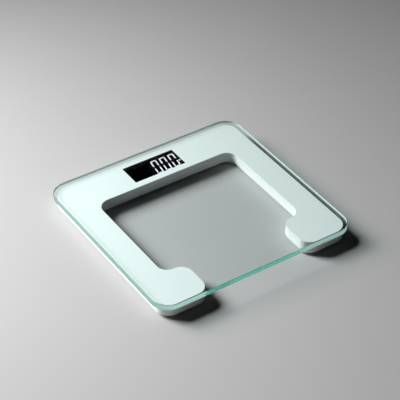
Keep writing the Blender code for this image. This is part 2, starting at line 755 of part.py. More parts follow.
def make_door(looks):
    """The battery door: a plate with a round hinge edge and a pin at each end of it."""
    axis = empty("door_hinge", (BATTERY_X, hinge_y(), Z_COVER + WALL / 2))
    radius = WALL / 2
    bm = bmesh.new()
    reach = DOOR_L - WALL / 2
    profile = [(-radius * math.sin(a), -radius * math.cos(a)) for a in edge_angles()]
    profile += [(reach, radius), (reach, -radius)]
    left = [bm.verts.new((-DOOR_W / 2, y, z)) for y, z in profile]
    right = [bm.verts.new((DOOR_W / 2, y, z)) for y, z in profile]
    for i in range(len(profile)):
        j = (i + 1) % len(profile)
        bm.faces.new((left[i], left[j], right[j], right[i]))
    bm.faces.new(list(reversed(left)))
    bm.faces.new(right)
    bmesh.ops.recalc_face_normals(bm, faces=bm.faces)
    corners = [e for e in bm.edges if min(v.co.y for v in e.verts) > reach - GAP and along_z(e)]
    bmesh.ops.bevel(bm, geom=corners, offset=DOOR_CORNER_R - GAP, segments=3, affect="EDGES", profile=0.5)
    door = piece("battery_door", bm, looks["white"], parent=axis)
    bm = bmesh.new()
    add_bar_x(bm, PIN_R, DOOR_W + 2 * PIN_LENGTH, (0.0, 0.0, 0.0), HOLE_STEPS)
    combine(door, piece("door_pins", bm, looks["white"], parent=axis, helper=True), "UNION")


def edge_angles():
    """Angles round the door's half-round edge, from its underside to its top."""
    return [math.pi * k / DOOR_EDGE_STEPS for k in range(DOOR_EDGE_STEPS + 1)]


def along_z(edge):
    """Whether an edge is upright."""
    a, b = (v.co for v in edge.verts)
    return abs((a - b).normalized().z) > 0.9


def turned_along_y(name, profile, look, at, flip, steps):
    """A turned piece whose axis lies along Y, pointing back if flip is set."""
    bm = bmesh.new()
    add_turned(bm, profile, steps)
    made = piece(name, bm, look, at)
    made.rotation_euler = (math.radians(90 if flip else -90), 0.0, 0.0)
    return made


def make_batteries(looks):
    """Two cells head to tail, a link across their front ends and a terminal behind each."""
    pitch = CELL_R + CELL_SIDE_GAP / 2
    half = CELL_LENGTH / 2
    case = [
        (CELL_R - CONTACT_T, -half),
        (CELL_R, CONTACT_T - half),
        (CELL_R, half - CONTACT_T),
        (CELL_R - CONTACT_T, half),
        (NUB_R, half),
        (NUB_R, half + NUB_H),
    ]
    for name, side, flip in (("battery_inner", -1, False), ("battery_outer", 1, True)):
        at = (BATTERY_X + side * pitch, 0.0, BATTERY_Z)
        turned_along_y(name, case, looks["battery"], at, flip, BATTERY_STEPS)

    plates = (
        ("battery_link", 0.0, -1, 4 * CELL_R - 2 * CONTACT_MARGIN),
        ("battery_terminal_inner", -pitch, 1, 2 * CELL_R - 2 * CONTACT_MARGIN),
        ("battery_terminal_outer", pitch, 1, 2 * CELL_R - 2 * CONTACT_MARGIN),
    )
    for name, offset, end, width in plates:
        bm = bmesh.new()
        outline = rectangle(width, CONTACT_T)
        add_loft(bm, [(outline, -CONTACT_H / 2), (outline, CONTACT_H / 2)])
        at = (BATTERY_X + offset, end * (BATTERY_END + CONTACT_T / 2), BATTERY_Z)
        plate = piece(name, bm, looks["nickel"], at)
        for side in (-1, 1) if offset == 0.0 else (0,):
            helper_name = name + "_bump_" + str(side + 1)
            place_x = at[0] + side * pitch
            bump = [(2 * NUB_R, -CONTACT_T / 4), (NUB_R, CONTACT_BUMP)]
            seat = (place_x, at[1] - end * CONTACT_T / 4, at[2])
            helper = turned_along_y(helper_name, bump, looks["nickel"], seat, end > 0, HOLE_STEPS)
            helper.hide_render = True
            helper.display_type = "WIRE"
            combine(plate, helper, "UNION")


# ---- Screws and leads ---------------------------------------------------------------------


def pan_head(radius, height, low):
    """The profile of a screw head whose crown is at its underside."""
    return [(out * radius, low + up * height) for out, up in PAN_HEAD]


def make_cover_screws(looks):
    """The pan-head screws that hold the cover to the shell, heads down."""
    profile = pan_head(SCREW_HEAD_R, SCREW_HEAD_H, 0.0)
    profile += [
        (SCREW_R, SCREW_HEAD_H),
        (SCREW_R, SCREW_HEAD_H + SCREW_LENGTH - SCREW_R),
        (SCREW_POINT_R, SCREW_HEAD_H + SCREW_LENGTH),
    ]
    bm = bmesh.new()
    add_turned(bm, profile, HOLE_STEPS)
    mesh = finished_mesh("cover_screw", bm, looks["steel"])
    for name, (x, y) in COVER_SCREWS.items():
        place(name, mesh, (x, y, Z_COVER + SCREW_SUNK))


def smooth_path(points, per_span):
    """Points along a smooth curve through the given ones, ends included."""
    steps = [b - a for a, b in zip(points, points[1:])]
    slopes = [steps[0]]
    for before, after in zip(steps, steps[1:]):
        mean = (before.normalized() + after.normalized()).normalized()
        slopes.append(mean * min(before.length, after.length))
    slopes.append(steps[-1])
    path = []
    for i, step in enumerate(steps):
        for k in range(per_span):
            t = k / per_span
            bend = slopes[i] * (t - 2 * t**2 + t**3) + slopes[i + 1] * (t**3 - t**2)
            path.append(points[i] + step * (3 * t**2 - 2 * t**3) + bend)
    return [*path, points[-1]]


def make_lead(name, points, radius, look):
    """A bundle of leads, as one round tube along a smooth path."""
    path = smooth_path([Vector(p) for p in points], 2)
    curve = bpy.data.curves.new(name, "CURVE")
    curve.dimensions = "3D"
    curve.bevel_depth = radius
    curve.bevel_resolution = 1
    curve.use_fill_caps = True
    curve.materials.append(look)
    spline = curve.splines.new("POLY")
    spline.points.add(len(path) - 1)
    for point, place_on_path in zip(spline.points, path):
        point.co = (*place_on_path, 1.0)
    obj = bpy.data.objects.new(name, curve)
    bpy.context.scene.collection.objects.link(obj)


def make_leads(looks):
    """Leads from each load cell, and from the battery terminals, to the board's ends."""
    holder = HOLDER_W / 2
    over_board = Z_BOARD + BOARD_T + GAP + LEAD_R
    lane_x = ARM_X + WALL + LEAD_WALL_GAP + LEAD_R
    lane_y = BEAM_Y + WALL + LEAD_R + GAP
    lane_y_low = lane_y + LEAD_R / 2
    bend_x = ARM_X - BAY_CORNER_R
    bend_y = BEAM_Y - BAY_CORNER_R
    reach = (BAY_CORNER_R + WALL + LEAD_R + LEAD_CORNER_GAP) * math.sqrt(0.5)
    board_end = BOARD_W / 2 - LEAD_TO_BOARD
    board_front = DISPLAY_Y - FRAME_D / 2
    for side_name, side in (("left", -1), ("right", 1)):
        start_y = FOOT_FRONT_Y + holder + GAP
        points = [
            (side * (FOOT_X - LEAD_R), start_y, over_board),
            (side * (FOOT_X - LEAD_R), start_y + 3 * LEAD_R, over_board),
            (side * lane_x, LOBE_Y + NECK_R, over_board),
            (side * lane_x, 0.0, over_board),
            (side * lane_x, bend_y, over_board),
            (side * (bend_x + reach), bend_y + reach, over_board),
            (side * bend_x, lane_y_low, over_board),
            (side * (board_end + BOARD_MARGIN_X), lane_y_low, over_board),
            (side * board_end, board_front + 2 * LEAD_R, over_board),
        ]
        make_lead("cell_lead_front_" + side_name, points, LEAD_R, looks["lead"])

        start_x = FOOT_X - holder - GAP
        points = [
            (side * start_x, FOOT_BACK_Y - 2 * LEAD_R, over_board),
            (side * (start_x - 2 * LEAD_R), FOOT_BACK_Y - 2 * LEAD_R, over_board),
            (side * (BEAM_SCREW_X + BOSS_R), DISPLAY_Y - WELL_R - 2 * LEAD_R, over_board),
            (side * (BEAM_SCREW_X - BOSS_R), DISPLAY_Y - WELL_R - 3 * LEAD_R, over_board),
            (side * board_end, DISPLAY_Y - WELL_R - 3 * LEAD_R, over_board),
        ]
        make_lead("cell_lead_back_" + side_name, points, LEAD_R, looks["lead"])

    low = over_board - LEAD_R - POWER_LEAD_R - GAP - BOARD_T / 2
    start_y = BATTERY_END + CONTACT_T + RIB_T + 3 * GAP
    points = [
        (BATTERY_X - CELL_R, start_y, low),
        (BATTERY_X - CELL_R, start_y + 2 * POWER_LEAD_R, low),
        (lane_x, start_y + 2 * CELL_R, low),
        (lane_x, bend_y, low),
        (bend_x + reach, bend_y + reach, low),
        (bend_x, lane_y_low, low),
        (board_end + BOARD_MARGIN_X, lane_y_low, low),
        (BOARD_W / 2 + 2 * GAP, lane_y_low, low),
    ]
    make_lead("power_lead", points, POWER_LEAD_R, looks["power"])


# ---- The scale ----------------------------------------------------------------------------


def main():
    """Empties the scene and builds the scale in it."""
    for obj in list(bpy.data.objects):
        bpy.data.objects.remove(obj)
    looks = {
        "glass": material("clear_glass", (0.80, 0.93, 0.89), 0.02, transmission=1.0),
        "film": material("bond_film", (0.80, 0.86, 0.85), 0.30),
        "white": material("white_abs", (0.80, 0.86, 0.85), 0.40),
        "lens": material("smoked_lens", (0.003, 0.003, 0.004), 0.05),
        "lcd": material("lcd_glass", (0.01, 0.01, 0.012), 0.10),
        "zebra": material("zebra_rubber", (0.55, 0.25, 0.30), 0.60),
        "guide": material("light_guide", (0.85, 0.88, 0.90), 0.30),
        "board": material("green_board", (0.02, 0.16, 0.07), 0.45),
        "epoxy": material("black_epoxy", (0.01, 0.01, 0.01), 0.35),
        "steel": material("zinc_steel", (0.62, 0.62, 0.60), 0.30, metallic=1.0),
        "nickel": material("nickel_contact", (0.66, 0.62, 0.56), 0.25, metallic=1.0),
        "grey": material("grey_abs", (0.42, 0.45, 0.46), 0.45),
        "rubber": material("pad_rubber", (0.06, 0.06, 0.065), 0.80),
        "sealant": material("white_sealant", (0.75, 0.75, 0.72), 0.50),
        "battery": material("battery_wrap", (0.10, 0.11, 0.12), 0.35, metallic=0.3),
        "lead": material("cell_lead", (0.55, 0.05, 0.04), 0.50),
        "power": material("power_lead", (0.02, 0.02, 0.02), 0.50),
    }
    make_glass(looks)
    window = make_window_cutter(looks)
    make_film(looks, window)
    make_upper_housing(looks, window)
    make_bottom_cover(looks)
    seat = make_display(looks)
    make_board(looks, seat)
    make_button(looks)
    make_feet(looks)
    make_door(looks)
    make_batteries(looks)
    make_cover_screws(looks)
    make_leads(looks)


main()
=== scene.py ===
"""The looks of a clear-glass personal scale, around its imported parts. Metres, +Z up, floor at z = 0."""

import json
import math

import bmesh
import bpy
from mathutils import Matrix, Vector


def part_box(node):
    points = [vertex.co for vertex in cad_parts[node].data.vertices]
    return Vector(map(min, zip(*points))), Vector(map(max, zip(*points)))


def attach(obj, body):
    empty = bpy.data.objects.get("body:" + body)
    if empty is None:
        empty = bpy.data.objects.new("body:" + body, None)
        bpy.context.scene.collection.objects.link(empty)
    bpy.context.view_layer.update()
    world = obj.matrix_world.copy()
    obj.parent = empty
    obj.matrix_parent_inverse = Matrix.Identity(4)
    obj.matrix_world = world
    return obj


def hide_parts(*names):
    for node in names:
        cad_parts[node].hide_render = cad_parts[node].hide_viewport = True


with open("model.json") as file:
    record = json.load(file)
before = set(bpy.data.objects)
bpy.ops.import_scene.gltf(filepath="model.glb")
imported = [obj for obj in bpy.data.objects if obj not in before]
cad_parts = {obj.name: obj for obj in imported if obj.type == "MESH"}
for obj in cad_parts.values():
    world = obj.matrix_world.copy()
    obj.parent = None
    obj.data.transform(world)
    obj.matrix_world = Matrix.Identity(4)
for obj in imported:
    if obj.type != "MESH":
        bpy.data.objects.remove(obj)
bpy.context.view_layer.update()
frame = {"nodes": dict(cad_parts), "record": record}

MM = 0.001


def centre(node):
    """The middle of a part's box, seen from above."""
    low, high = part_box(node)
    return (low.x + high.x) / 2, (low.y + high.y) / 2


# ---- Sizes, worked out from the frame

OPENINGS = {o["name"]: o["box_m"] for o in frame["record"]["physics"]["openings"]}
OPENING_CLEAR = 0.5 * MM
CORNERS = ("front_left", "front_right", "back_left", "back_right")

GLASS_LOW, GLASS_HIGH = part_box("glass_platform")
GLASS_CORNER_R = 26.0 * MM
GLASS_ARRIS = 0.8 * MM

# The housing's outer sides, and the sides of the hollow middle between its arms and lobes
SHELL_LOW, SHELL_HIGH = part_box("upper_housing")
COVER_LOW, COVER_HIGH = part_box("bottom_cover")
HOUSING_X = SHELL_HIGH.x
HOUSING_Y = SHELL_HIGH.y
ARM_X = OPENINGS["bay_across"][1][0] + OPENING_CLEAR
BEAM_Y = OPENINGS["bay_along"][1][1] + OPENING_CLEAR
LOBE_X = OPENINGS["front_gap"][1][0] + OPENING_CLEAR
LOBE_Y = OPENINGS["bay_along"][0][1] - OPENING_CLEAR
HOUSING_CORNER_R = 20.5 * MM
BAY_CORNER_R = 17.0 * MM
NECK_R = 16.0 * MM
LOBE_CORNER_R = 17.5 * MM

WALL = 2.2 * MM
GAP = 0.3 * MM
RUNNING = 0.7 * MM
# The small bevel on a moulded rim or a cut sheet
EASE = 0.15 * MM
SHELL_EDGE_R = 0.7 * MM
COVER_EDGE_R = 5.0 * MM
BAY_EDGE_R = 1.2 * MM
Z_INSIDE = COVER_LOW.z + WALL
Z_CEILING = SHELL_HIGH.z - WALL
Z_SPLIT = SHELL_LOW.z

# The white layer reaches a hair into the glass, as bonded layers look, and stops short of the walls
FILM_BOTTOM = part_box("bond_film")[0].z
FILM_INSET = 0.3 * MM
BOND_DEPTH = 0.02 * MM

LENS_LOW, LENS_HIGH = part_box("display_lens")
LENS_CORNER_R = 1.0 * MM
LCD_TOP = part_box("lcd_panel")[1].z
# The gasket fills most of the gap round the lens
GASKET_INNER = 0.15 * GAP
GASKET_OUTER = 0.95 * GAP

COVER_SCREWS = [
    "cover_screw_" + place + "_" + side
    for place in ("lobe", "beam", "arm_front", "arm_back")
    for side in ("left", "right")
]
BOARD_SCREWS = ["board_screw_left", "board_screw_right"]
SCREW_HEAD_R = 2.8 * MM
SCREW_HEAD_H = 1.8 * MM
SCREW_SHANK_R = 1.4 * MM
BOARD_HEAD_R = 2.2 * MM
BOARD_HEAD_H = 1.4 * MM
BOARD_SHANK_R = 1.0 * MM
BOSS_R = 3.5 * MM
PILOT_R = 1.7 * MM
WELL_R = 4.3 * MM

FOOT_R = 21.5 * MM
FOOT_HOLE_R = FOOT_R + RUNNING
FOOT_RECESS_R = FOOT_R - 2.9 * MM
FOOT_RECESS_EDGE = 0.3 * MM
FOOT_EDGE_R = 0.7 * MM
FOOT_FLANGE_GAP = 0.5 * MM
FOOT_FLANGE_T = 1.5 * MM
FOOT_BOSS_R = 8.0 * MM
FOOT_TIP_R = 4.0 * MM
FOOT_RING_W = 1.6 * MM
FOOT_RING_H = 0.5 * MM
TREADS = 6
TREAD_PITCH = 2.4 * MM
TREAD_DEPTH = 0.6 * MM
TREAD_RIM = 0.8 * MM
PAD_EDGE_R = 0.6 * MM

DOOR_LOW, DOOR_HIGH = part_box("battery_door")
DOOR_CORNER_R = 2.0 * MM
PIN_R = 0.7 * MM
PIN_LENGTH = 1.2 * MM
DOOR_PLATE_LOW = DOOR_LOW + Vector((PIN_LENGTH, 0, 0))
DOOR_PLATE_HIGH = DOOR_HIGH - Vector((PIN_LENGTH, 0, 0))
DOOR_AXIS_Y = DOOR_LOW.y + WALL / 2
GRIP_HALF_W = 7.0 * MM
GRIP_NEAR = 2.0 * MM
GRIP_FAR = 10.0 * MM
GRIP_DEPTH = 0.6 * MM
GRIP_CORNER_R = 3.0 * MM
RIBS = 4
RIB_PITCH = 1.6 * MM
RIB_HALF_W = 5.5 * MM
RIB_HALF_T = 0.35 * MM
RIB_CORNER_R = 0.34 * MM
RIB_H = 0.7 * MM

BUTTON_LOW, BUTTON_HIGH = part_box("unit_button")
BUTTON_FLANGE = 1.0 * MM
BUTTON_FLANGE_T = 0.6 * MM
BUTTON_STEM_R = 2.2 * MM
# How far the cap's round edge, its flat rim and its dish are set in from its sides
BUTTON_EDGE = 0.4 * MM
BUTTON_RIM = 0.8 * MM
BUTTON_DISH = 1.0 * MM
CAP_LOW = BUTTON_LOW + Vector((BUTTON_FLANGE, BUTTON_FLANGE, 0))
CAP_HIGH = BUTTON_HIGH - Vector((BUTTON_FLANGE, BUTTON_FLANGE, 0))
BUTTON_CORNER_R = (CAP_HIGH.y - CAP_LOW.y) / 6

# A shallow recess for a label, with nothing printed in it
LABEL_X = (12.0 * MM, 58.0 * MM)
LABEL_HALF_D = 11.0 * MM
LABEL_DEPTH = 0.3 * MM
LABEL_CORNER_R = 2.0 * MM

# How finely corners, edges and turned solids are drawn
CORNER_STEPS = 24
EDGE_STEPS = 6
COVER_EDGE_STEPS = 10
BAY_EDGE_STEPS = 4
SMALL_STEPS = 8
BLOCK_STEPS = 4
BLOCK_CORNER_R = 0.1 * MM
SCREW_SIDES = 28
BOSS_SIDES = 32
PILOT_SIDES = 20
PIN_SIDES = 24
FOOT_SIDES = 96
CELL_SIDES = 64
SMOOTH_ANGLE = math.radians(32)
# A direction whose Z share is above this counts as upright
UPRIGHT = 0.9


# ---- Camera, light and floor

VIEW_AZIMUTH = math.radians(-33.51)
VIEW_ELEVATION = math.radians(38.92)
VIEW_DISTANCE = 2.179
VIEW_TARGET = Vector((0.0095, 0.0110, GLASS_HIGH.z))
VIEW_LENS = 142.1
SENSOR_W = 36.0
FARTHEST_SEEN = 50.0


def look_from(obj, place, target):
    """Puts a camera or a lamp somewhere, aimed at a point."""
    obj.location = place
    obj.rotation_euler = (place - target).to_track_quat("Z", "Y").to_euler()
    bpy.context.scene.collection.objects.link(obj)


def make_camera():
    """A long lens from the front left, a little above."""
    data = bpy.data.cameras.new("view")
    data.lens = VIEW_LENS
    data.sensor_width = SENSOR_W
    data.clip_end = FARTHEST_SEEN
    back = Vector((
        math.sin(VIEW_AZIMUTH) * math.cos(VIEW_ELEVATION),
        -math.cos(VIEW_AZIMUTH) * math.cos(VIEW_ELEVATION),
        math.sin(VIEW_ELEVATION),
    ))
    camera = bpy.data.objects.new("view", data)
    look_from(camera, VIEW_TARGET + VIEW_DISTANCE * back, VIEW_TARGET)
    bpy.context.scene.camera = camera


KEY_FROM = Vector((-0.99, 1.15, 1.0)).normalized()
KEY_DISTANCE = 1.547
KEY_AIM = Vector((0.26, -1.5, 0.0))
KEY_SIZE = 0.7
KEY_POWER = 25.0
KEY_SPREAD = math.radians(118)

# The dim room that fills the shadows, and the pale wall that is seen past the floor
ROOM_FILL = 0.004
ROOM_SEEN = 0.55

FLOOR_REACH = 1.15

# Enough for light to run the length of the plate between its faces
LIGHT_BOUNCES = 48


def make_light():
    """One softbox behind and to the left, feathered to the front of the floor, in a dim room.

    It is not mirrored in glossy surfaces or seen through the glass, where it would only be a bright
    broken line along the ground edge.
    """
    data = bpy.data.lights.new("key", "AREA")
    data.size = KEY_SIZE
    data.energy = KEY_POWER
    data.spread = KEY_SPREAD
    key = bpy.data.objects.new("key", data)
    key.visible_transmission = False
    key.visible_glossy = False
    look_from(key, KEY_DISTANCE * KEY_FROM, KEY_AIM)
    world = bpy.data.worlds.new("room")
    world.use_nodes = True
    tree = world.node_tree
    room = tree.nodes["Background"]
    room.inputs["Color"].default_value = srgb("#E6ECF2")
    seen = add(tree, "ShaderNodeLightPath").outputs["Is Camera Ray"]
    level = {"Value": seen, "To Min": ROOM_FILL, "To Max": ROOM_SEEN}
    strength = add(tree, "ShaderNodeMapRange", level).outputs["Result"]
    tree.links.new(strength, room.inputs["Strength"])
    bpy.context.scene.world = world
    bpy.context.scene.view_settings.view_transform = "Standard"
    for kind in ("max_bounces", "transmission_bounces", "glossy_bounces"):
        setattr(bpy.context.scene.cycles, kind, LIGHT_BOUNCES)


def make_floor():
    """A wide pale sheet of backdrop paper."""
    bm = bmesh.new()
    sides = [(-1, -1), (1, -1), (1, 1), (-1, 1)]
    bm.faces.new([bm.verts.new((FLOOR_REACH * x, FLOOR_REACH * y, 0.0)) for x, y in sides])
    mesh = bpy.data.meshes.new("floor")
    bm.to_mesh(mesh)
    bm.free()
    mesh.materials.append(backdrop_paper())
    floor = bpy.data.objects.new("floor", mesh)
    bpy.context.scene.collection.objects.link(floor)


# ---- Materials

# Sockets of a colour mix: its two colours and its result
MIX_A, MIX_B, MIX_RESULT = 6, 7, 2


def srgb(code):
    """A hex colour as linear red, green, blue and alpha."""
    shares = [int(code[i:i + 2], 16) / 255 for i in (1, 3, 5)]
    return (*[s / 12.92 if s <= 0.04045 else ((s + 0.055) / 1.055) ** 2.4 for s in shares], 1.0)


def add(tree, kind, inputs=(), **settings):
    """Adds a node with its settings, and sets its inputs to values or links them to sockets."""
    node = tree.nodes.new(kind)
    for name, value in settings.items():
        setattr(node, name, value)
    for name, value in dict(inputs).items():
        if isinstance(value, bpy.types.NodeSocket):
            tree.links.new(value, node.inputs[name])
        else:
            node.inputs[name].default_value = value
    return node


def started(name, colour, roughness, sockets=()):
    """A material with its shader set, and the object coordinates that its patterns read."""
    look = bpy.data.materials.new(name)
    look.use_nodes = True
    tree = look.node_tree
    shader = tree.nodes["Principled BSDF"]
    shader.inputs["Base Color"].default_value = srgb(colour)
    shader.inputs["Roughness"].default_value = roughness
    for socket, value in dict(sockets).items():
        shader.inputs[socket].default_value = value
    place = add(tree, "ShaderNodeTexCoord").outputs["Object"]
    return look, tree, shader, place


def grain(tree, shader, place, size, depth, rough=None):
    """Bumps of a size and depth over the surface, with a roughness that follows them."""
    noise = add(tree, "ShaderNodeTexNoise", {"Vector": place, "Scale": 1 / size, "Detail": 3.0})
    bump = add(tree, "ShaderNodeBump", {"Height": noise.outputs["Fac"], "Distance": depth})
    tree.links.new(bump.outputs["Normal"], shader.inputs["Normal"])
    if rough:
        spread = {"From Min": 0.3, "From Max": 0.7, "To Min": rough[0], "To Max": rough[1]}
        follow = add(tree, "ShaderNodeMapRange", {"Value": noise.outputs["Fac"], **spread})
        tree.links.new(follow.outputs["Result"], shader.inputs["Roughness"])


def two_tone(tree, shader, pattern, first, second):
    """Colours a surface in two hex colours, by a pattern that runs from the first to the second."""
    colours = {"Factor": pattern, MIX_A: srgb(first), MIX_B: srgb(second)}
    mix = add(tree, "ShaderNodeMix", colours, data_type="RGBA")
    tree.links.new(mix.outputs[MIX_RESULT], shader.inputs["Base Color"])


def mottle(tree, shader, place, size, pale, dark):
    """A slow drift between two near colours over patches of a size."""
    noise = add(tree, "ShaderNodeTexNoise", {"Vector": place, "Scale": 1 / size, "Detail": 2.0})
    two_tone(tree, shader, noise.outputs["Fac"], pale, dark)


def backdrop_paper():
    """Matt grey-white paper, which gives the eye nothing but the light on it."""
    look, tree, shader, place = started("backdrop_paper", "#C4C4C4", 0.75)
    mottle(tree, shader, place, 180 * MM, "#C5C5C5", "#C2C2C2")
    grain(tree, shader, place, 1.5 * MM, 0.03 * MM)
    return look


GLASS_IOR = 1.52
ABS_IOR = 1.53
ACRYLIC_IOR = 1.49

# What a metre of the glass takes out of red, green and blue light
GLASS_ABSORBS = (5.5, 1.5, 2.0)
GLASS_DENSITY = 6.0
# How much of the edge's light is scattered, seen from outside and from inside the plate
EDGE_SCATTER = 0.10
EDGE_MATT = 0.95
# The ground edge's roughness. The faces have none.
EDGE_ROUGH = 0.15


def tempered_glass():
    """Soda-lime float glass, tempered: water-clear faces, and a ground edge that glows sea-green.

    The edge spreads some of the light that runs inside the plate. Looked at through the plate it
    is matt, so it is a dark line where it faces away from the lamp and a pale one where it faces it.
    Light that goes to or from what is under the plate passes straight through it. It loses nothing
    at the faces, and about a quarter at the edge.
    """
    sockets = {"Transmission Weight": 1.0, "IOR": GLASS_IOR}
    look, tree, shader, _ = started("tempered_glass", "#FFFFFF", 0.0, sockets)
    edge = add(tree, "ShaderNodeAttribute", attribute_name="ground_edge").outputs["Fac"]
    two_tone(tree, shader, edge, "#FFFFFF", "#7CA59C")
    rough = add(tree, "ShaderNodeMath", {0: edge, 1: EDGE_ROUGH}, operation="MULTIPLY").outputs[0]
    tree.links.new(rough, shader.inputs["Roughness"])
    share = add(tree, "ShaderNodeMath", {0: edge, 1: EDGE_SCATTER}, operation="MULTIPLY").outputs[0]
    spread = add(tree, "ShaderNodeBsdfTranslucent", {"Color": srgb("#AEDDCE")})
    glassy = add(tree, "ShaderNodeMixShader", {0: share, 1: shader.outputs[0], 2: spread.outputs[0]})
    inside = add(tree, "ShaderNodeNewGeometry").outputs["Backfacing"]
    within = add(tree, "ShaderNodeMath", {0: edge, 1: inside}, operation="MULTIPLY").outputs[0]
    matt = add(tree, "ShaderNodeMath", {0: within, 1: EDGE_MATT}, operation="MULTIPLY").outputs[0]
    ground = add(tree, "ShaderNodeBsdfDiffuse", {"Color": srgb("#C8E0DA")})
    solid = add(tree, "ShaderNodeMixShader", {0: matt, 1: glassy.outputs[0], 2: ground.outputs[0]})
    path = add(tree, "ShaderNodeLightPath")
    rays = {0: path.outputs["Is Shadow Ray"], 1: path.outputs["Is Diffuse Ray"]}
    from_lamp = add(tree, "ShaderNodeMath", rays, operation="MAXIMUM").outputs[0]
    lost = {"Factor": edge, MIX_A: srgb("#FFFFFF"), MIX_B: srgb("#D8E4E2")}
    shade = add(tree, "ShaderNodeMix", lost, data_type="RGBA").outputs[MIX_RESULT]
    clear = add(tree, "ShaderNodeBsdfTransparent", {"Color": shade})
    mix = add(tree, "ShaderNodeMixShader", {0: from_lamp, 1: solid.outputs[0], 2: clear.outputs[0]})
    passed = [1 - loss / GLASS_DENSITY for loss in GLASS_ABSORBS]
    tinted = {"Color": (*passed, 1.0), "Density": GLASS_DENSITY}
    depth = add(tree, "ShaderNodeVolumeAbsorption", tinted)
    output = tree.nodes["Material Output"]
    tree.links.new(mix.outputs[0], output.inputs["Surface"])
    tree.links.new(depth.outputs[0], output.inputs["Volume"])
    return look


def white_print():
    """White ceramic enamel fired on the glass's underside: even and slightly cool."""
    look, tree, shader, place = started("white_print", "#F3FBFA", 0.55)
    mottle(tree, shader, place, 40 * MM, "#F4FCFB", "#F2FAF9")
    grain(tree, shader, place, 0.8 * MM, 0.005 * MM)
    return look


def moulded_abs():
    """Injection-moulded white ABS: a satin skin with a very fine spark-eroded grain."""
    look, tree, shader, place = started("moulded_abs", "#F5F8F7", 0.4, {"IOR": ABS_IOR})
    mottle(tree, shader, place, 25 * MM, "#F6F9F8", "#F2F6F5")
    grain(tree, shader, place, 0.9 * MM, 0.02 * MM, (0.36, 0.46))
    return look


def grey_abs(name, pale, dark):
    """Injection-moulded grey ABS with a slightly coarser grain than the housing's."""
    look, tree, shader, place = started(name, pale, 0.45, {"IOR": ABS_IOR})
    mottle(tree, shader, place, 12 * MM, pale, dark)
    grain(tree, shader, place, 0.8 * MM, 0.04 * MM, (0.42, 0.55))
    return look


def smoked_acrylic():
    """Cast acrylic, dyed dark: glossy, and black until something behind it shines."""
    sockets = {"Transmission Weight": 1.0, "IOR": ACRYLIC_IOR}
    look, tree, shader, place = started("smoked_acrylic", "#B4B4B8", 0.02, sockets)
    mottle(tree, shader, place, 15 * MM, "#B4B4B8", "#B0B0B4")
    grain(tree, shader, place, 30 * MM, 0.002 * MM)
    return look


def black_mask():
    """Black ink screened round the window's edge, which hides what holds the display."""
    look, tree, shader, place = started("black_mask", "#060607", 0.35)
    mottle(tree, shader, place, 5 * MM, "#060607", "#09090A")
    return look


def lcd_glass():
    """A negative liquid-crystal cell: two sheets of glass with a black polariser on top."""
    look, tree, shader, place = started("lcd_glass", "#050507", 0.12, {"IOR": 1.5})
    mottle(tree, shader, place, 6 * MM, "#050507", "#08070A")
    return look


LIT_GLOW = 3.0
FAINT_GLOW = 0.8


def glow(tree, shader, strength):
    """Makes a shader shine in its own colour."""
    colour = shader.inputs["Base Color"].links[0].from_socket
    tree.links.new(colour, shader.inputs["Emission Color"])
    shader.inputs["Emission Strength"].default_value = strength


def lit_segment():
    """A segment that lets the backlight through: flat cool white."""
    look, tree, shader, place = started("lit_segment", "#F4F8FF", 0.5)
    mottle(tree, shader, place, 8 * MM, "#FFFFFF", "#F2F6FF")
    glow(tree, shader, LIT_GLOW)
    return look


def faint_segment():
    """A segment that is barely driven: the same white, much dimmer."""
    look, tree, shader, place = started("faint_segment", "#5A5C60", 0.5)
    mottle(tree, shader, place, 8 * MM, "#B8BABF", "#A8ABB0")
    glow(tree, shader, FAINT_GLOW)
    return look


def cast_rubber(name, pale, dark, size):
    """Compression-moulded rubber: matt, with a dusty bloom over a soft grain."""
    look, tree, shader, place = started(name, pale, 0.8)
    mottle(tree, shader, place, 6 * MM, pale, dark)
    grain(tree, shader, place, size, 0.05 * MM, (0.7, 0.9))
    return look


def plated_steel(name, pale, dark, roughness, line):
    """Zinc- or nickel-plated steel: bright metal with fine rolling lines along Y."""
    look, tree, shader, place = started(name, pale, roughness, {"Metallic": 1.0})
    stretch = add(tree, "ShaderNodeMapping", {"Vector": place, "Scale": (1.0, 0.05, 1.0)})
    lined = stretch.outputs["Vector"]
    mottle(tree, shader, lined, 1.5 * MM, pale, dark)
    grain(tree, shader, lined, line, 0.01 * MM, (roughness - 0.06, roughness + 0.1))
    return look


TRACK_PITCH = 2.0 * MM
# Where the mask rises over a track's edge, as shares of the pitch
TRACK_EDGE = (0.35, 0.40)


def circuit_board():
    """Glass-epoxy board under green solder mask, with copper tracks a little paler than it."""
    look, tree, shader, place = started("circuit_board", "#12612F", 0.35)
    grid = {"Vector": place, "Scale": 1 / TRACK_PITCH}
    cells = add(tree, "ShaderNodeTexVoronoi", grid, distance="CHEBYCHEV")
    low, high = TRACK_EDGE
    edge = {"Value": cells.outputs["Distance"], "From Min": low, "From Max": high}
    over = add(tree, "ShaderNodeMapRange", edge)
    two_tone(tree, shader, over.outputs["Result"], "#0E5528", "#1E7A3E")
    lift = {"Height": over.outputs["Result"], "Distance": 0.03 * MM}
    bump = add(tree, "ShaderNodeBump", lift)
    tree.links.new(bump.outputs["Normal"], shader.inputs["Normal"])
    return look


# A real strip's layers are 0.1 mm apart. They are drawn wider, so that they are seen as stripes.
ZEBRA_PITCH = 0.5 * MM
# The wave texture's own period at a scale of 1
WAVE_PERIOD = 2 * math.pi / 20


def striped_rubber():
    """Zebra strip: thin black conductive layers between pink ones."""
    look, tree, shader, place = started("zebra_rubber", "#D98C94", 0.6)
    layers = {"Vector": place, "Scale": WAVE_PERIOD / ZEBRA_PITCH}
    wave = add(tree, "ShaderNodeTexWave", layers, bands_direction="X")
    two_tone(tree, shader, wave.outputs["Fac"], "#1A1718", "#D98C94")
    return look


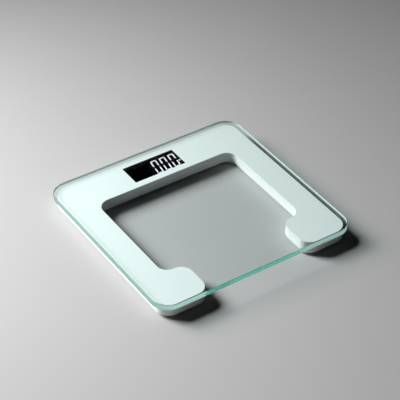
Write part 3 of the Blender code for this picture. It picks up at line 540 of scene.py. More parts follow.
def cast_epoxy():
    """The black epoxy blob dispensed over the chip: glossy, with a slight orange peel."""
    look, tree, shader, place = started("chip_epoxy", "#0B0B0C", 0.3)
    mottle(tree, shader, place, 3 * MM, "#0B0B0C", "#121213")
    grain(tree, shader, place, 1.2 * MM, 0.05 * MM)
    return look


def frosted_guide():
    """Milky acrylic light guide with a dot pattern moulded in."""
    look, tree, shader, place = started("light_guide", "#E8EEF5", 0.35)
    dots = add(tree, "ShaderNodeTexVoronoi", {"Vector": place, "Scale": 1 / (1.2 * MM)})
    two_tone(tree, shader, dots.outputs["Distance"], "#FFFFFF", "#D9E2EC")
    return look


def soft_sealant():
    """White silicone smeared over the gauges: soft sheen and uneven thickness."""
    look, tree, shader, place = started("gauge_sealant", "#E4E2DA", 0.5)
    mottle(tree, shader, place, 2 * MM, "#ECEAE2", "#D4D1C6")
    grain(tree, shader, place, 1.5 * MM, 0.15 * MM)
    return look


# Where along Y the sleeve's band begins
BAND_EDGE = (9.0 * MM, 9.3 * MM)


def battery_wrap():
    """A printed foil sleeve: graphite along most of the cell, with a blue-green band at one end."""
    look, tree, shader, place = started("battery_wrap", "#2E3338", 0.3, {"Metallic": 0.4})
    along = add(tree, "ShaderNodeSeparateXYZ", {"Vector": place})
    start, end = BAND_EDGE
    band = {"Value": along.outputs["Y"], "From Min": start, "From Max": end}
    step = add(tree, "ShaderNodeMapRange", band)
    two_tone(tree, shader, step.outputs["Result"], "#2E3338", "#2F8F8A")
    grain(tree, shader, place, 3 * MM, 0.01 * MM, (0.26, 0.36))
    return look


def wire_sleeve(name, pale, dark):
    """PVC sleeving over a bundle of leads: soft gloss, with the twist of the leads showing."""
    look, tree, shader, place = started(name, pale, 0.4)
    turns = {"Vector": place, "Scale": 1 / (2.0 * MM), "Detail": 1.0}
    twist = add(tree, "ShaderNodeTexNoise", turns)
    two_tone(tree, shader, twist.outputs["Fac"], pale, dark)
    grain(tree, shader, place, 2.5 * MM, 0.1 * MM)
    return look


# ---- Outlines and meshes


def circle(radius, sides):
    """A regular polygon on a radius, anticlockwise seen from above."""
    turn = 2 * math.pi / sides
    return [(radius * math.cos(i * turn), radius * math.sin(i * turn)) for i in range(sides)]


def filleted(corners, steps):
    """An axis-aligned outline with round corners, each (x, y, radius, inset of the side after it)."""
    points = []
    count = len(corners)
    places = [Vector(c[:2]) for c in corners]
    for i in range(count):
        way_in = (places[i] - places[i - 1]).normalized()
        way_out = (places[(i + 1) % count] - places[i]).normalized()
        radius = corners[i][2]
        convex = 1 if way_in.cross(way_out) > 0 else -1
        middle = places[i] + radius * (way_out - way_in)
        reach_in = radius - convex * corners[i - 1][3]
        reach_out = radius - convex * corners[i][3]
        for k in range(steps + 1):
            turn = math.pi / 2 * k / steps
            point = middle - way_out * reach_in * math.cos(turn) + way_in * reach_out * math.sin(turn)
            points.append((point.x, point.y))
    return points


def rectangle(low, high, radius, steps, inset=0.0):
    """A rectangle with round corners between two corners."""
    corners = [(low[0], low[1]), (high[0], low[1]), (high[0], high[1]), (low[0], high[1])]
    return filleted([(x, y, radius, inset) for x, y in corners], steps)


def housing_outline(inset, bay_inset=None):
    """The U seen from above. The outer sides move in by inset and the bay's sides by bay_inset."""
    bay = inset if bay_inset is None else bay_inset
    corners = [
        (-HOUSING_X, -HOUSING_Y, HOUSING_CORNER_R, inset),
        (-LOBE_X, -HOUSING_Y, LOBE_CORNER_R, bay),
        (-LOBE_X, LOBE_Y, LOBE_CORNER_R, bay),
        (-ARM_X, LOBE_Y, NECK_R, bay),
        (-ARM_X, BEAM_Y, BAY_CORNER_R, bay),
        (ARM_X, BEAM_Y, BAY_CORNER_R, bay),
        (ARM_X, LOBE_Y, NECK_R, bay),
        (LOBE_X, LOBE_Y, LOBE_CORNER_R, bay),
        (LOBE_X, -HOUSING_Y, LOBE_CORNER_R, inset),
        (HOUSING_X, -HOUSING_Y, HOUSING_CORNER_R, inset),
        (HOUSING_X, HOUSING_Y, HOUSING_CORNER_R, inset),
        (-HOUSING_X, HOUSING_Y, HOUSING_CORNER_R, inset),
    ]
    return filleted(corners, CORNER_STEPS)


def rounded(radius, steps=EDGE_STEPS):
    """A quarter round's (inset, height) pairs, from its foot on the flat to its top on the side."""
    turns = [math.pi / 2 * k / steps for k in range(steps + 1)]
    return [(radius * (1 - math.sin(t)), radius * (1 - math.cos(t))) for t in turns]


def add_sides(bm, sections, at=(0.0, 0.0), ring=False):
    """Adds the sides that run through sections, each (outline, z). A ring's last meets its first."""
    loops = []
    for outline, z in sections:
        loops.append([bm.verts.new((x + at[0], y + at[1], z)) for x, y in outline])
    following = loops[1:] + loops[:1] if ring else loops[1:]
    for low, high in zip(loops, following):
        for i in range(len(low)):
            j = (i + 1) % len(low)
            bm.faces.new((low[i], low[j], high[j], high[i]))
    return loops


def add_loft(bm, sections, at=(0.0, 0.0)):
    """Adds a closed solid that runs through sections, with a cap at each end."""
    loops = add_sides(bm, sections, at)
    bm.faces.new(list(reversed(loops[0])))
    bm.faces.new(loops[-1])


def add_turned(bm, profile, sides, at=(0.0, 0.0)):
    """Adds a turned solid. The profile is (radius, z) from its underside round to its top."""
    add_loft(bm, [(circle(radius, sides), z) for radius, z in profile], at)


def shown(name, mesh, body, replaced=(), flat=False):
    """Puts a finished mesh in the scene, on its body and in place of the nodes that it stands for."""
    if not flat:
        mesh.shade_smooth()
        mesh.set_sharp_from_angle(angle=SMOOTH_ANGLE)
    obj = bpy.data.objects.new(name, mesh)
    bpy.context.scene.collection.objects.link(obj)
    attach(obj, body)
    if replaced:
        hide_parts(*replaced)


def mesh_of(name, bm, looks):
    """Turns bm into a mesh in its materials."""
    mesh = bpy.data.meshes.new(name)
    bm.to_mesh(mesh)
    bm.free()
    for look in looks:
        mesh.materials.append(look)
    return mesh


def carved(mesh, steps):
    """The mesh after adding or cutting each (operation, bm) in turn."""
    scene = bpy.context.scene.collection
    obj = bpy.data.objects.new("carved", mesh)
    scene.objects.link(obj)
    helpers = []
    for operation, bm in steps:
        helper = bpy.data.objects.new("helper", mesh_of("helper", bm, ()))
        scene.objects.link(helper)
        helpers.append(helper)
        boolean = obj.modifiers.new("step", "BOOLEAN")
        boolean.operation = operation
        boolean.solver = "EXACT"
        boolean.object = helper
    made = evaluated(obj)
    for helper in helpers:
        bpy.data.objects.remove(helper)
    return made


def evaluated(obj):
    """The plain mesh that an object's modifiers make. The object is removed."""
    depsgraph = bpy.context.evaluated_depsgraph_get()
    made = bpy.data.meshes.new_from_object(obj.evaluated_get(depsgraph))
    bpy.data.objects.remove(obj)
    return made


def nodes_tree(name, inputs):
    """A new Geometry Nodes tree that takes geometry and named inputs, and its input node."""
    tree = bpy.data.node_groups.new(name, "GeometryNodeTree")
    tree.interface.new_socket("Geometry", in_out="OUTPUT", socket_type="NodeSocketGeometry")
    tree.interface.new_socket("Geometry", in_out="INPUT", socket_type="NodeSocketGeometry")
    for label, kind in inputs.items():
        tree.interface.new_socket(label, in_out="INPUT", socket_type=kind)
    return tree, add(tree, "NodeGroupInput")


def grown(name, tree, geometry, look, mesh, values):
    """Ends a tree in one material, sets its inputs by identifier, and gives the mesh that it makes."""
    real = add(tree, "GeometryNodeRealizeInstances", {0: geometry})
    dressed = add(tree, "GeometryNodeSetMaterial", {0: real.outputs[0], "Material": look})
    add(tree, "NodeGroupOutput", {0: dressed.outputs[0]})
    obj = bpy.data.objects.new(name, mesh)
    bpy.context.scene.collection.objects.link(obj)
    modifier = obj.modifiers.new(name, "NODES")
    modifier.node_group = tree
    for item in tree.interface.items_tree:
        if item.item_type == "SOCKET" and item.in_out == "INPUT" and item.name in values:
            modifier[item.identifier] = values[item.name]
    return evaluated(obj)


def at_points(name, points, shape, look, turns=None):
    """Copies of a shape, given as a bm, at points, each turned about Z by its own angle."""
    mesh = bpy.data.meshes.new(name)
    mesh.from_pydata(points, [], [])
    turn = mesh.attributes.new("turn", "FLOAT", "POINT")
    turn.data.foreach_set("value", turns or [0.0] * len(points))
    original = bpy.data.objects.new("shape", mesh_of("shape", shape, ()))
    tree, given = nodes_tree(name, {"Shape": "NodeSocketObject"})
    info = add(tree, "GeometryNodeObjectInfo", {"Object": given.outputs["Shape"]})
    named = add(tree, "GeometryNodeInputNamedAttribute", {"Name": "turn"}, data_type="FLOAT")
    about = add(tree, "ShaderNodeCombineXYZ", {"Z": named.outputs["Attribute"]})
    copies = {
        "Points": given.outputs["Geometry"],
        "Instance": info.outputs["Geometry"],
        "Rotation": about.outputs["Vector"],
    }
    placed = add(tree, "GeometryNodeInstanceOnPoints", copies)
    made = grown(name, tree, placed.outputs["Instances"], look, mesh, {"Shape": original})
    bpy.data.objects.remove(original)
    return made


# ---- Glass, film and window


def make_glass():
    """The tempered plate: flat faces, and a ground edge with an arris above and below."""
    bm = bmesh.new()
    steps = 2 * CORNER_STEPS
    full = rectangle(GLASS_LOW, GLASS_HIGH, GLASS_CORNER_R, steps)
    eased = rectangle(GLASS_LOW, GLASS_HIGH, GLASS_CORNER_R, steps, GLASS_ARRIS)
    add_loft(bm, [
        (eased, GLASS_LOW.z),
        (full, GLASS_LOW.z + GLASS_ARRIS),
        (full, GLASS_HIGH.z - GLASS_ARRIS),
        (eased, GLASS_HIGH.z),
    ])
    bm.normal_update()
    ground = [0.0 if abs(face.normal.z) > UPRIGHT else 1.0 for face in bm.faces]
    mesh = mesh_of("platform_glass", bm, [tempered_glass()])
    mesh.attributes.new("ground_edge", "FLOAT", "FACE").data.foreach_set("value", ground)
    shown("platform_glass", mesh, "platform", ["glass_platform"])


def lens_outline(inset):
    """The display lens seen from above, moved in by inset. The window in what holds it is wider."""
    return rectangle(LENS_LOW, LENS_HIGH, LENS_CORNER_R, SMALL_STEPS, inset)


def window_cutter(low):
    """A bm that cuts the display window, from a height up to the top of the glass."""
    bm = bmesh.new()
    add_loft(bm, [(lens_outline(-GAP), low), (lens_outline(-GAP), GLASS_HIGH.z)])
    return bm


def make_film():
    """The white layer bonded to the glass, with the window left out."""
    bm = bmesh.new()
    outline = housing_outline(FILM_INSET)
    add_loft(bm, [(outline, FILM_BOTTOM), (outline, GLASS_LOW.z + BOND_DEPTH)])
    mesh = mesh_of("print_layer", bm, [white_print()])
    mesh = carved(mesh, [("DIFFERENCE", window_cutter(FILM_BOTTOM - WALL))])
    shown("print_layer", mesh, "platform", ["bond_film"])


def make_window():
    """The smoked lens, and the black foam round it that keeps light and dust out."""
    bm = bmesh.new()
    add_loft(bm, [
        (lens_outline(EASE), LENS_LOW.z),
        (lens_outline(0.0), LENS_LOW.z + EASE),
        (lens_outline(0.0), LENS_HIGH.z - EASE),
        (lens_outline(EASE), LENS_HIGH.z),
    ])
    mesh = mesh_of("window_lens", bm, [smoked_acrylic()])
    shown("window_lens", mesh, "platform", ["display_lens"])

    bm = bmesh.new()
    outer = lens_outline(-GASKET_OUTER)
    inner = lens_outline(-GASKET_INNER)
    low, high = Z_CEILING, GLASS_LOW.z + BOND_DEPTH / 2
    add_sides(bm, [(outer, low), (outer, high), (inner, high), (inner, low)], ring=True)
    mesh = mesh_of("window_gasket", bm, [black_mask()])
    shown("window_gasket", mesh, "platform")


DIGITS = 3
DIGIT_PITCH = 14.3 * MM
DIGIT_W = 9.6 * MM
DIGIT_H = 29.4 * MM
DIGIT_RIGHT = 37.8 * MM
DIGIT_LOW = 2.6 * MM
STROKE = 1.8 * MM
CORNER_GAP = 0.4 * MM
MIDDLE_GAP = 2.0 * MM
SLANT = math.tan(math.radians(7.5))
SEGMENT_T = 0.02 * MM
DOT_X = DIGIT_RIGHT + 2.6 * MM
DOT_HEIGHTS = (0.36, 0.60)
DOT_SIZES = (2.8 * MM, 1.8 * MM)
DOT_SIDES = 24


def segment_shape(length, mitred, outer):
    """A flat bar along X, long on its outer side at a mitred end and pointed at any other."""
    half, side = length / 2, STROKE / 2
    outline = []
    for end in (-1, 1):
        points = [(end * (half - side), -outer * side)]
        if end in mitred:
            points.append((end * (half + side), outer * side))
        else:
            points += [(end * half, 0.0), (end * (half - side), outer * side)]
        outline += points if end == 1 else list(reversed(points))
    if outer < 0:
        outline.reverse()
    bm = bmesh.new()
    add_loft(bm, [(outline, 0.0), (outline, SEGMENT_T)])
    return bm


def make_digits():
    """Three slanted seven-segment zeros on the panel, and two dots after the last."""
    y_low = LENS_LOW.y + DIGIT_LOW
    middle = y_low + DIGIT_H / 2
    level = LCD_TOP + SEGMENT_T
    wide, tall = DIGIT_W - STROKE, DIGIT_H - STROKE
    bar = wide - 2 * CORNER_GAP
    post = tall / 2 - CORNER_GAP - MIDDLE_GAP
    post_y = MIDDLE_GAP + post / 2
    bars, rising, falling = ([], []), ([], []), ([], [])
    for i in range(DIGITS):
        left = DIGIT_RIGHT - DIGIT_PITCH * (DIGITS - 1 - i) - DIGIT_W + STROKE / 2
        for end in (-1, 1):
            bars[0].append((left + wide / 2, middle + end * tall / 2, level))
            bars[1].append(0.0 if end > 0 else math.pi)
            for side in (-1, 1):
                group = rising if side * end < 0 else falling
                x = left + (wide if side > 0 else 0.0)
                group[0].append((x, middle + end * post_y, level))
                group[1].append(end * math.pi / 2)
    lit = lit_segment()
    shapes = {
        "digit_bars": (bars, bar, (-1, 1), 1),
        "digit_posts_rising": (rising, post, (1,), 1),
        "digit_posts_falling": (falling, post, (1,), -1),
    }
    for name, ((points, turns), length, mitred, outer) in shapes.items():
        mesh = at_points(name, points, segment_shape(length, mitred, outer), lit, turns)
        lean(mesh, middle)
        shown(name, mesh, "platform", flat=True)
    for i, (share, size) in enumerate(zip(DOT_HEIGHTS, DOT_SIZES)):
        bm = bmesh.new()
        at = (DOT_X, y_low + share * DIGIT_H)
        add_turned(bm, [(size / 2, level), (size / 2, level + SEGMENT_T)], DOT_SIDES, at)
        name = "digit_dot_" + str(i + 1)
        mesh = mesh_of(name, bm, [lit if i == 0 else faint_segment()])
        lean(mesh, middle)
        shown(name, mesh, "platform", flat=True)


def lean(mesh, middle):
    """Slants a flat mesh to the right above a line along X, and to the left below it."""
    for vertex in mesh.vertices:
        vertex.co.x += (vertex.co.y - middle) * SLANT


# ---- Housing and cover


def stacked(places, profile, sides):
    """A bm of equal turned solids at places."""
    bm = bmesh.new()
    for at in places:
        add_turned(bm, profile, sides, at)
    return bm


def block(low, high, z_low, z_high, radius=BLOCK_CORNER_R):
    """A bm of one upright block with round corners."""
    bm = bmesh.new()
    outline = rectangle(low, high, radius, BLOCK_STEPS)
    add_loft(bm, [(outline, z_low), (outline, z_high)])
    return bm


def wider(low, high, gap):
    """Two corners moved apart by a gap on every side."""
    return low - Vector((gap, gap, 0)), high + Vector((gap, gap, 0))


def make_housing(white):
    """The shell under the glass: a flat top, walls all round, screw bosses and a window."""
    sections = [
        (housing_outline(WALL), Z_CEILING),
        (housing_outline(WALL), Z_SPLIT),
        (housing_outline(EASE), Z_SPLIT),
        (housing_outline(0.0), Z_SPLIT + EASE),
    ]
    for inset, height in reversed(rounded(SHELL_EDGE_R)):
        sections.append((housing_outline(SHELL_EDGE_R - inset), SHELL_HIGH.z - height))
    bm = bmesh.new()
    add_loft(bm, sections)
    places = [centre(name) for name in COVER_SCREWS]
    screw_low, screw_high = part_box(COVER_SCREWS[0])
    seat = screw_low.z + SCREW_HEAD_H + 2 * GAP + WALL
    root = Z_CEILING + WALL / 2
    tip = screw_high.z + GAP
    bosses = stacked(places, [(BOSS_R, seat), (BOSS_R, root)], BOSS_SIDES)
    holes = stacked(places, [(PILOT_R, COVER_LOW.z), (PILOT_R, tip)], PILOT_SIDES)
    steps = [("UNION", bosses), ("DIFFERENCE", holes), ("DIFFERENCE", window_cutter(Z_INSIDE))]
    mesh = carved(mesh_of("housing_shell", bm, [white]), steps)
    shown("housing_shell", mesh, "platform", ["upper_housing"])


def cover_sections():
    """The tray's (outline, height) pairs, up its rounded outside, over its rim and down inside."""
    heights = [height for _, height in rounded(COVER_EDGE_R, COVER_EDGE_STEPS)]
    heights += [BAY_EDGE_R * k / BAY_EDGE_STEPS for k in range(1, BAY_EDGE_STEPS + 1)]
    sections = []
    for height in sorted(set(heights)):
        outer = edge_inset(height, COVER_EDGE_R)
        bay = edge_inset(height, BAY_EDGE_R)
        sections.append((housing_outline(outer, bay), COVER_LOW.z + height))
    return sections + [
        (housing_outline(0.0), COVER_HIGH.z - EASE),
        (housing_outline(EASE), COVER_HIGH.z),
        (housing_outline(WALL), COVER_HIGH.z),
        (housing_outline(WALL), COVER_LOW.z + COVER_EDGE_R),
        (housing_outline(COVER_EDGE_R, WALL), Z_INSIDE),
    ]


def door_opening(low, high):
    """A bm that cuts the door's opening: square at the hinge, round at the free corners."""
    near, far = wider(DOOR_PLATE_LOW, DOOR_PLATE_HIGH, GAP)
    corners = [
        (near.x, near.y, GAP),
        (far.x, near.y, GAP),
        (far.x, far.y, DOOR_CORNER_R),
        (near.x, far.y, DOOR_CORNER_R),
    ]
    outline = filleted([(*c, 0.0) for c in corners], EDGE_STEPS)
    bm = bmesh.new()
    add_loft(bm, [(outline, low), (outline, high)])
    return bm


def make_cover(white):
    """The tray under the housing, with its openings, screw wells and a raised ring at each foot."""
    bm = bmesh.new()
    add_loft(bm, cover_sections())
    places = [centre(name) for name in COVER_SCREWS]
    feet = [centre("foot_" + corner) for corner in CORNERS]
    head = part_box(COVER_SCREWS[0])[0].z + SCREW_HEAD_H + GAP
    below = COVER_LOW.z - WALL
    above = Z_INSIDE + GAP

    wells = stacked(places, [(WELL_R, Z_INSIDE - WALL / 2), (WELL_R, head + WALL)], BOSS_SIDES)
    ring_r = FOOT_HOLE_R + FOOT_RING_W
    ring = [(ring_r, COVER_LOW.z - FOOT_RING_H), (ring_r + FOOT_RING_H, COVER_LOW.z + WALL / 2)]
    rings = stacked(feet, ring, FOOT_SIDES)

    head_r = SCREW_HEAD_R + GAP
    seat = [(head_r, below), (head_r, head), (PILOT_R, head), (PILOT_R, head + 2 * WALL)]
    seats = stacked(places, seat, SCREW_SIDES)
    holes = stacked(feet, [(FOOT_HOLE_R, below), (FOOT_HOLE_R, Z_INSIDE + WALL)], FOOT_SIDES)
    door = door_opening(below, above)
    notch_low = Vector((DOOR_LOW.x, DOOR_AXIS_Y - PIN_R, 0.0))
    notch_high = Vector((DOOR_HIGH.x, DOOR_AXIS_Y + PIN_R, 0.0))
    notch = block(*wider(notch_low, notch_high, GAP), below, above)
    button = block(*wider(CAP_LOW, CAP_HIGH, GAP), below, above, BUTTON_CORNER_R)
    label_y = centre("unit_button")[1]
    label_low = Vector((LABEL_X[0], label_y - LABEL_HALF_D, 0))
    label_high = Vector((LABEL_X[1], label_y + LABEL_HALF_D, 0))
    label = block(label_low, label_high, below, COVER_LOW.z + LABEL_DEPTH, LABEL_CORNER_R)

    steps = [("UNION", wells), ("UNION", rings)]
    steps += [("DIFFERENCE", cutter) for cutter in (seats, holes, door, notch, button, label)]
    mesh = carved(mesh_of("cover_tray", bm, [white]), steps)
    shown("cover_tray", mesh, "platform", ["bottom_cover"])


def edge_inset(height, radius):
    """How far a round lower edge is set in at this height above its bottom."""
    if height >= radius:
        return 0.0
    return radius - math.sqrt(radius**2 - (radius - height) ** 2)


# ---- What moves


def foot_profile(corner, flange_r):
    """A foot's (radius, height) pairs: recess, rounded rim, flange, boss and tip."""
    low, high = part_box("foot_" + corner)
    recess_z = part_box("foot_pad_" + corner)[1].z + GAP
    flange_low = Z_INSIDE + FOOT_FLANGE_GAP
    flange_high = flange_low + FOOT_FLANGE_T
    profile = [
        (FOOT_RECESS_R, recess_z),
        (FOOT_RECESS_R, low.z + FOOT_RECESS_EDGE),
        (FOOT_RECESS_R + FOOT_RECESS_EDGE, low.z),
    ]
    profile += [(FOOT_R - inset, low.z + height) for inset, height in rounded(FOOT_EDGE_R)]
    return profile + [
        (FOOT_R, flange_low),
        (flange_r, flange_low),
        (flange_r, flange_high),
        (FOOT_BOSS_R, flange_high),
        (FOOT_TIP_R, high.z),
    ]


def tread_profile(radius, top):
    """A pad's (radius, height) pairs: its moulded rings from the middle out, then its round rim."""
    profile = []
    for k in range(TREADS):
        outer = radius - TREAD_RIM - TREAD_PITCH * (TREADS - 1 - k)
        inner = outer - TREAD_PITCH / 2
        profile += [(inner - EASE, TREAD_DEPTH), (inner + EASE, 0.0), (outer - EASE, 0.0)]
        if k < TREADS - 1:
            profile.append((outer + EASE, TREAD_DEPTH))
    profile += [(radius - inset, height) for inset, height in rounded(PAD_EDGE_R)]
    return profile + [(radius, top)]


def make_foot(corner, grey, rubber):
    """One foot with a rounded rim, and its pad with moulded tread rings."""
    at = centre("foot_" + corner)
    body = "foot_" + corner
    bm = bmesh.new()
    add_turned(bm, foot_profile(corner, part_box(body)[1].x - at[0]), FOOT_SIDES, at)
    shown("foot_cup_" + corner, mesh_of("foot_cup", bm, [grey]), body, [body])

    pad = "foot_pad_" + corner
    pad_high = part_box(pad)[1]
    bm = bmesh.new()
    add_turned(bm, tread_profile(pad_high.x - at[0], pad_high.z), FOOT_SIDES, at)
    name = "foot_tread_" + corner
    shown(name, mesh_of(name, bm, [rubber]), body, [pad])


def door_plate():
    """A bm of the door's plate: round at its hinge edge, with two round free corners."""
    radius = WALL / 2
    axis_z = COVER_LOW.z + radius
    half_turn = 2 * EDGE_STEPS
    profile = []
    for k in range(half_turn + 1):
        turn = math.pi * k / half_turn
        profile.append((DOOR_AXIS_Y - radius * math.sin(turn), axis_z - radius * math.cos(turn)))
    profile += [(DOOR_HIGH.y, axis_z + radius), (DOOR_HIGH.y, axis_z - radius)]
    bm = bmesh.new()
    left = [bm.verts.new((DOOR_PLATE_LOW.x, y, z)) for y, z in profile]
    right = [bm.verts.new((DOOR_PLATE_HIGH.x, y, z)) for y, z in profile]
    for i in range(len(profile)):
        j = (i + 1) % len(profile)
        bm.faces.new((left[i], left[j], right[j], right[i]))
    bm.faces.new(list(reversed(left)))
    bm.faces.new(right)
    bmesh.ops.recalc_face_normals(bm, faces=bm.faces)
    free = [e for e in bm.edges if min(v.co.y for v in e.verts) > DOOR_HIGH.y - GAP and upright(e)]
    offset = DOOR_CORNER_R - GAP
    bmesh.ops.bevel(bm, geom=free, offset=offset, segments=SMALL_STEPS, affect="EDGES", profile=0.5)
    return bm


def make_door(white):
    """The battery door: a plate with a round hinge edge, two pins and a row of grip ribs."""
    middle = (DOOR_PLATE_LOW.x + DOOR_PLATE_HIGH.x) / 2
    axis_z = COVER_LOW.z + WALL / 2
    pins = bmesh.new()
    add_turned(pins, [(PIN_R, DOOR_LOW.x), (PIN_R, DOOR_HIGH.x)], PIN_SIDES)
    for vertex in pins.verts:
        x, y, z = vertex.co
        vertex.co = Vector((z, x + DOOR_AXIS_Y, y + axis_z))
    grip_low = Vector((middle - GRIP_HALF_W, DOOR_HIGH.y - GRIP_FAR, 0))
    grip_high = Vector((middle + GRIP_HALF_W, DOOR_HIGH.y - GRIP_NEAR, 0))
    grip = block(grip_low, grip_high, COVER_LOW.z - WALL, COVER_LOW.z + GRIP_DEPTH, GRIP_CORNER_R)
    plate = mesh_of("door_plate", door_plate(), [white])
    mesh = carved(plate, [("UNION", pins), ("DIFFERENCE", grip)])
    shown("door_plate", mesh, "battery_door", ["battery_door"])

    half = Vector((RIB_HALF_W, RIB_HALF_T, 0))
    rib = block(-half, half, 0.0, RIB_H, RIB_CORNER_R)
    first = DOOR_HIGH.y - (GRIP_NEAR + GRIP_FAR) / 2 - (RIBS - 1) / 2 * RIB_PITCH
    points = [(middle, first + RIB_PITCH * k, COVER_LOW.z) for k in range(RIBS)]
    shown("door_grip", at_points("door_grip", points, rib, white), "battery_door")


def upright(edge):
    """Whether an edge is along Z."""
    a, b = (v.co for v in edge.verts)
    return abs((a - b).normalized().z) > UPRIGHT


def cap_outline(inset):
    """The button's cap seen from above, moved in by inset."""
    return rectangle(CAP_LOW, CAP_HIGH, BUTTON_CORNER_R, SMALL_STEPS, inset)


def make_button(grey):
    """The unit button: a dished cap, a flange that keeps it in, and a stem up to the switch."""
    low, high = BUTTON_LOW, BUTTON_HIGH
    flange = rectangle(low, high, BUTTON_CORNER_R, SMALL_STEPS)
    flange_low = Z_INSIDE + GAP
    bm = bmesh.new()
    add_loft(bm, [
        (cap_outline(BUTTON_DISH), low.z + EASE),
        (cap_outline(BUTTON_RIM), low.z),
        (cap_outline(BUTTON_EDGE), low.z),
        (cap_outline(0.0), low.z + BUTTON_EDGE),
        (cap_outline(0.0), flange_low),
        (flange, flange_low),
        (flange, flange_low + BUTTON_FLANGE_T),
    ])
    profile = [(BUTTON_STEM_R, flange_low), (BUTTON_STEM_R, high.z)]
    stem = stacked([centre("unit_button")], profile, BOSS_SIDES)
    mesh = carved(mesh_of("button_cap", bm, [grey]), [("UNION", stem)])
    shown("button_cap", mesh, "unit_button", ["unit_button"])


# ---- Screws and batteries

# A pan head from its crown to its underside, as shares of its radius and height
PAN_HEAD = ((0.35, 0.01), (0.62, 0.06), (0.84, 0.18), (0.96, 0.38), (1.0, 0.62), (1.0, 1.0))
THREADS = 6
# The thread's root and the screw's point, as shares of the shank's radius
THREAD_ROOT = 0.75
SCREW_POINT = 0.3
# The cross recess, as shares of the head's radius and height
CROSS_REACH = 0.62
CROSS_HALF_W = 0.12
CROSS_DEPTH = 0.6
CROSS_CORNER_R = 0.02 * MM


def screw_shape(radius, height, shank_r, length):
    """A pan-head screw with a cross recess, its crown at z = 0 and its point up."""
    profile = [(out * radius, up * height) for out, up in PAN_HEAD]
    profile.append((shank_r, height))
    pitch = (length - height) / (THREADS + 1)
    for k in range(THREADS):
        z = height + pitch * (k + 0.5)
        profile += [(shank_r, z), (shank_r * THREAD_ROOT, z + pitch / 2)]
    profile.append((shank_r * SCREW_POINT, length))
    bm = bmesh.new()
    add_turned(bm, profile, SCREW_SIDES)
    slots = []
    for wide, deep in ((CROSS_REACH, CROSS_HALF_W), (CROSS_HALF_W, CROSS_REACH)):
        half = Vector((wide * radius, deep * radius, 0))
        slot = block(-half, half, -height, CROSS_DEPTH * height, CROSS_CORNER_R)
        slots.append(("DIFFERENCE", slot))
    mesh = carved(mesh_of("screw", bm, ()), slots)
    shape = bmesh.new()
    shape.from_mesh(mesh)
    return shape


def make_screws(steel):
    """The cover's eight screws and the board's two."""
    for name, nodes, radius, height, shank in (
        ("cover_screws", COVER_SCREWS, SCREW_HEAD_R, SCREW_HEAD_H, SCREW_SHANK_R),
        ("board_screws", BOARD_SCREWS, BOARD_HEAD_R, BOARD_HEAD_H, BOARD_SHANK_R),
    ):
        low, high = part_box(nodes[0])
        points = [(*centre(node), low.z) for node in nodes]
        shape = screw_shape(radius, height, shank, high.z - low.z)
        shown(name, at_points(name, points, shape, steel), "platform", nodes)


NUB_R = 1.9 * MM
NUB_H = 0.8 * MM
NUB_EASE = 0.2 * MM
CRIMP_DEPTH = 0.3 * MM
CRIMP_EDGE = 1.2 * MM
CRIMP_FOOT = 1.3 * MM
SLEEVE_RIM = 1.1 * MM
SLEEVE_EDGE_R = 0.5 * MM
# The bare dished base, as shares of the cell's radius
BASE_DISH = 0.55
BASE_RIM = 0.62


def cell_profile(radius, half):
    """A cell's (radius, height) pairs about its middle, from its dished base to its nub."""
    top = half - NUB_H
    profile = [(radius * BASE_DISH, -half + CRIMP_DEPTH), (radius * BASE_RIM, -half)]
    profile.append((radius - SLEEVE_EDGE_R, -half))
    edge = rounded(SLEEVE_EDGE_R)
    profile += [(radius - inset, -half + height) for inset, height in edge]
    profile += [(radius - inset, top - height) for inset, height in reversed(edge)]
    return profile + [
        (radius - CRIMP_EDGE, top),
        (radius - CRIMP_FOOT, top - CRIMP_DEPTH),
        (NUB_R, top - CRIMP_DEPTH),
        (NUB_R, half - NUB_EASE),
        (NUB_R - NUB_EASE, half),
    ]


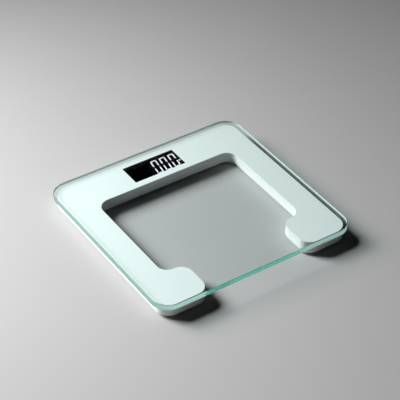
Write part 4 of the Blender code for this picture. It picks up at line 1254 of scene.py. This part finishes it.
def make_batteries(wrap, nickel):
    """Two cells head to tail, each with a crimped sleeve and a bare cap."""
    for node in ("battery_inner", "battery_outer"):
        low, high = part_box(node)
        x, y, z = (low + high) / 2
        radius = (high.x - low.x) / 2
        side = 1 if abs(high.y) > abs(low.y) else -1
        bm = bmesh.new()
        add_turned(bm, cell_profile(radius, (high.y - low.y) / 2), CELL_SIDES)
        for face in bm.faces:
            out = max(math.hypot(v.co.x, v.co.y) for v in face.verts)
            face.material_index = 1 if out < radius - SLEEVE_RIM else 0
        for vertex in bm.verts:
            a, b, along = vertex.co
            vertex.co = Vector((x + a, y + side * along, z - side * b))
        bmesh.ops.recalc_face_normals(bm, faces=bm.faces)
        name = "sleeved_" + node
        shown(name, mesh_of(name, bm, [wrap, nickel]), "platform", [node])


# ---- Everything together

make_camera()
make_light()
make_floor()
make_glass()
make_film()
make_window()
make_digits()
ABS = moulded_abs()
GREY = grey_abs("foot_abs", "#8E9294", "#868A8C")
BUTTON_GREY = grey_abs("button_abs", "#6E7376", "#666B6E")
TREAD = cast_rubber("pad_rubber_moulded", "#3A3C3E", "#323436", 0.5 * MM)
ZINC = plated_steel("zinc_plated_steel", "#C9CBC8", "#B4B8B4", 0.32, 0.4 * MM)
NICKEL = plated_steel("nickel_plated_steel", "#D8D4C8", "#C4C0B4", 0.24, 0.3 * MM)
WRAP = battery_wrap()
make_housing(ABS)
make_cover(ABS)
for corner in CORNERS:
    make_foot(corner, GREY, TREAD)
make_door(ABS)
make_button(BUTTON_GREY)
make_screws(ZINC)
make_batteries(WRAP, NICKEL)

FINISHES = {
    "lcd_panel": lcd_glass(),
    "lcd_frame": ABS,
    "backlight_guide": frosted_guide(),
    "zebra_connector": striped_rubber(),
    "main_board": circuit_board(),
    "controller_chip": cast_epoxy(),
    "unit_switch": ZINC,
    "battery_link": NICKEL,
    "battery_terminal_inner": NICKEL,
    "battery_terminal_outer": NICKEL,
    "power_lead": wire_sleeve("red_black_leads", "#8C1F1C", "#1B1A1A"),
}
CELL_STEEL = plated_steel("milled_cell_steel", "#A9ADB0", "#94989B", 0.38, 0.5 * MM)
SEALANT = soft_sealant()
SLEEVE = wire_sleeve("grey_lead_sleeve", "#C9CCD0", "#7E8388")
for corner in CORNERS:
    FINISHES["load_cell_" + corner] = CELL_STEEL
    FINISHES["gauge_seal_" + corner] = SEALANT
    FINISHES["cell_holder_" + corner] = ABS
    FINISHES["cell_lead_" + corner] = SLEEVE
for node, look in FINISHES.items():
    for place in frame["nodes"][node].material_slots:
        place.material = look
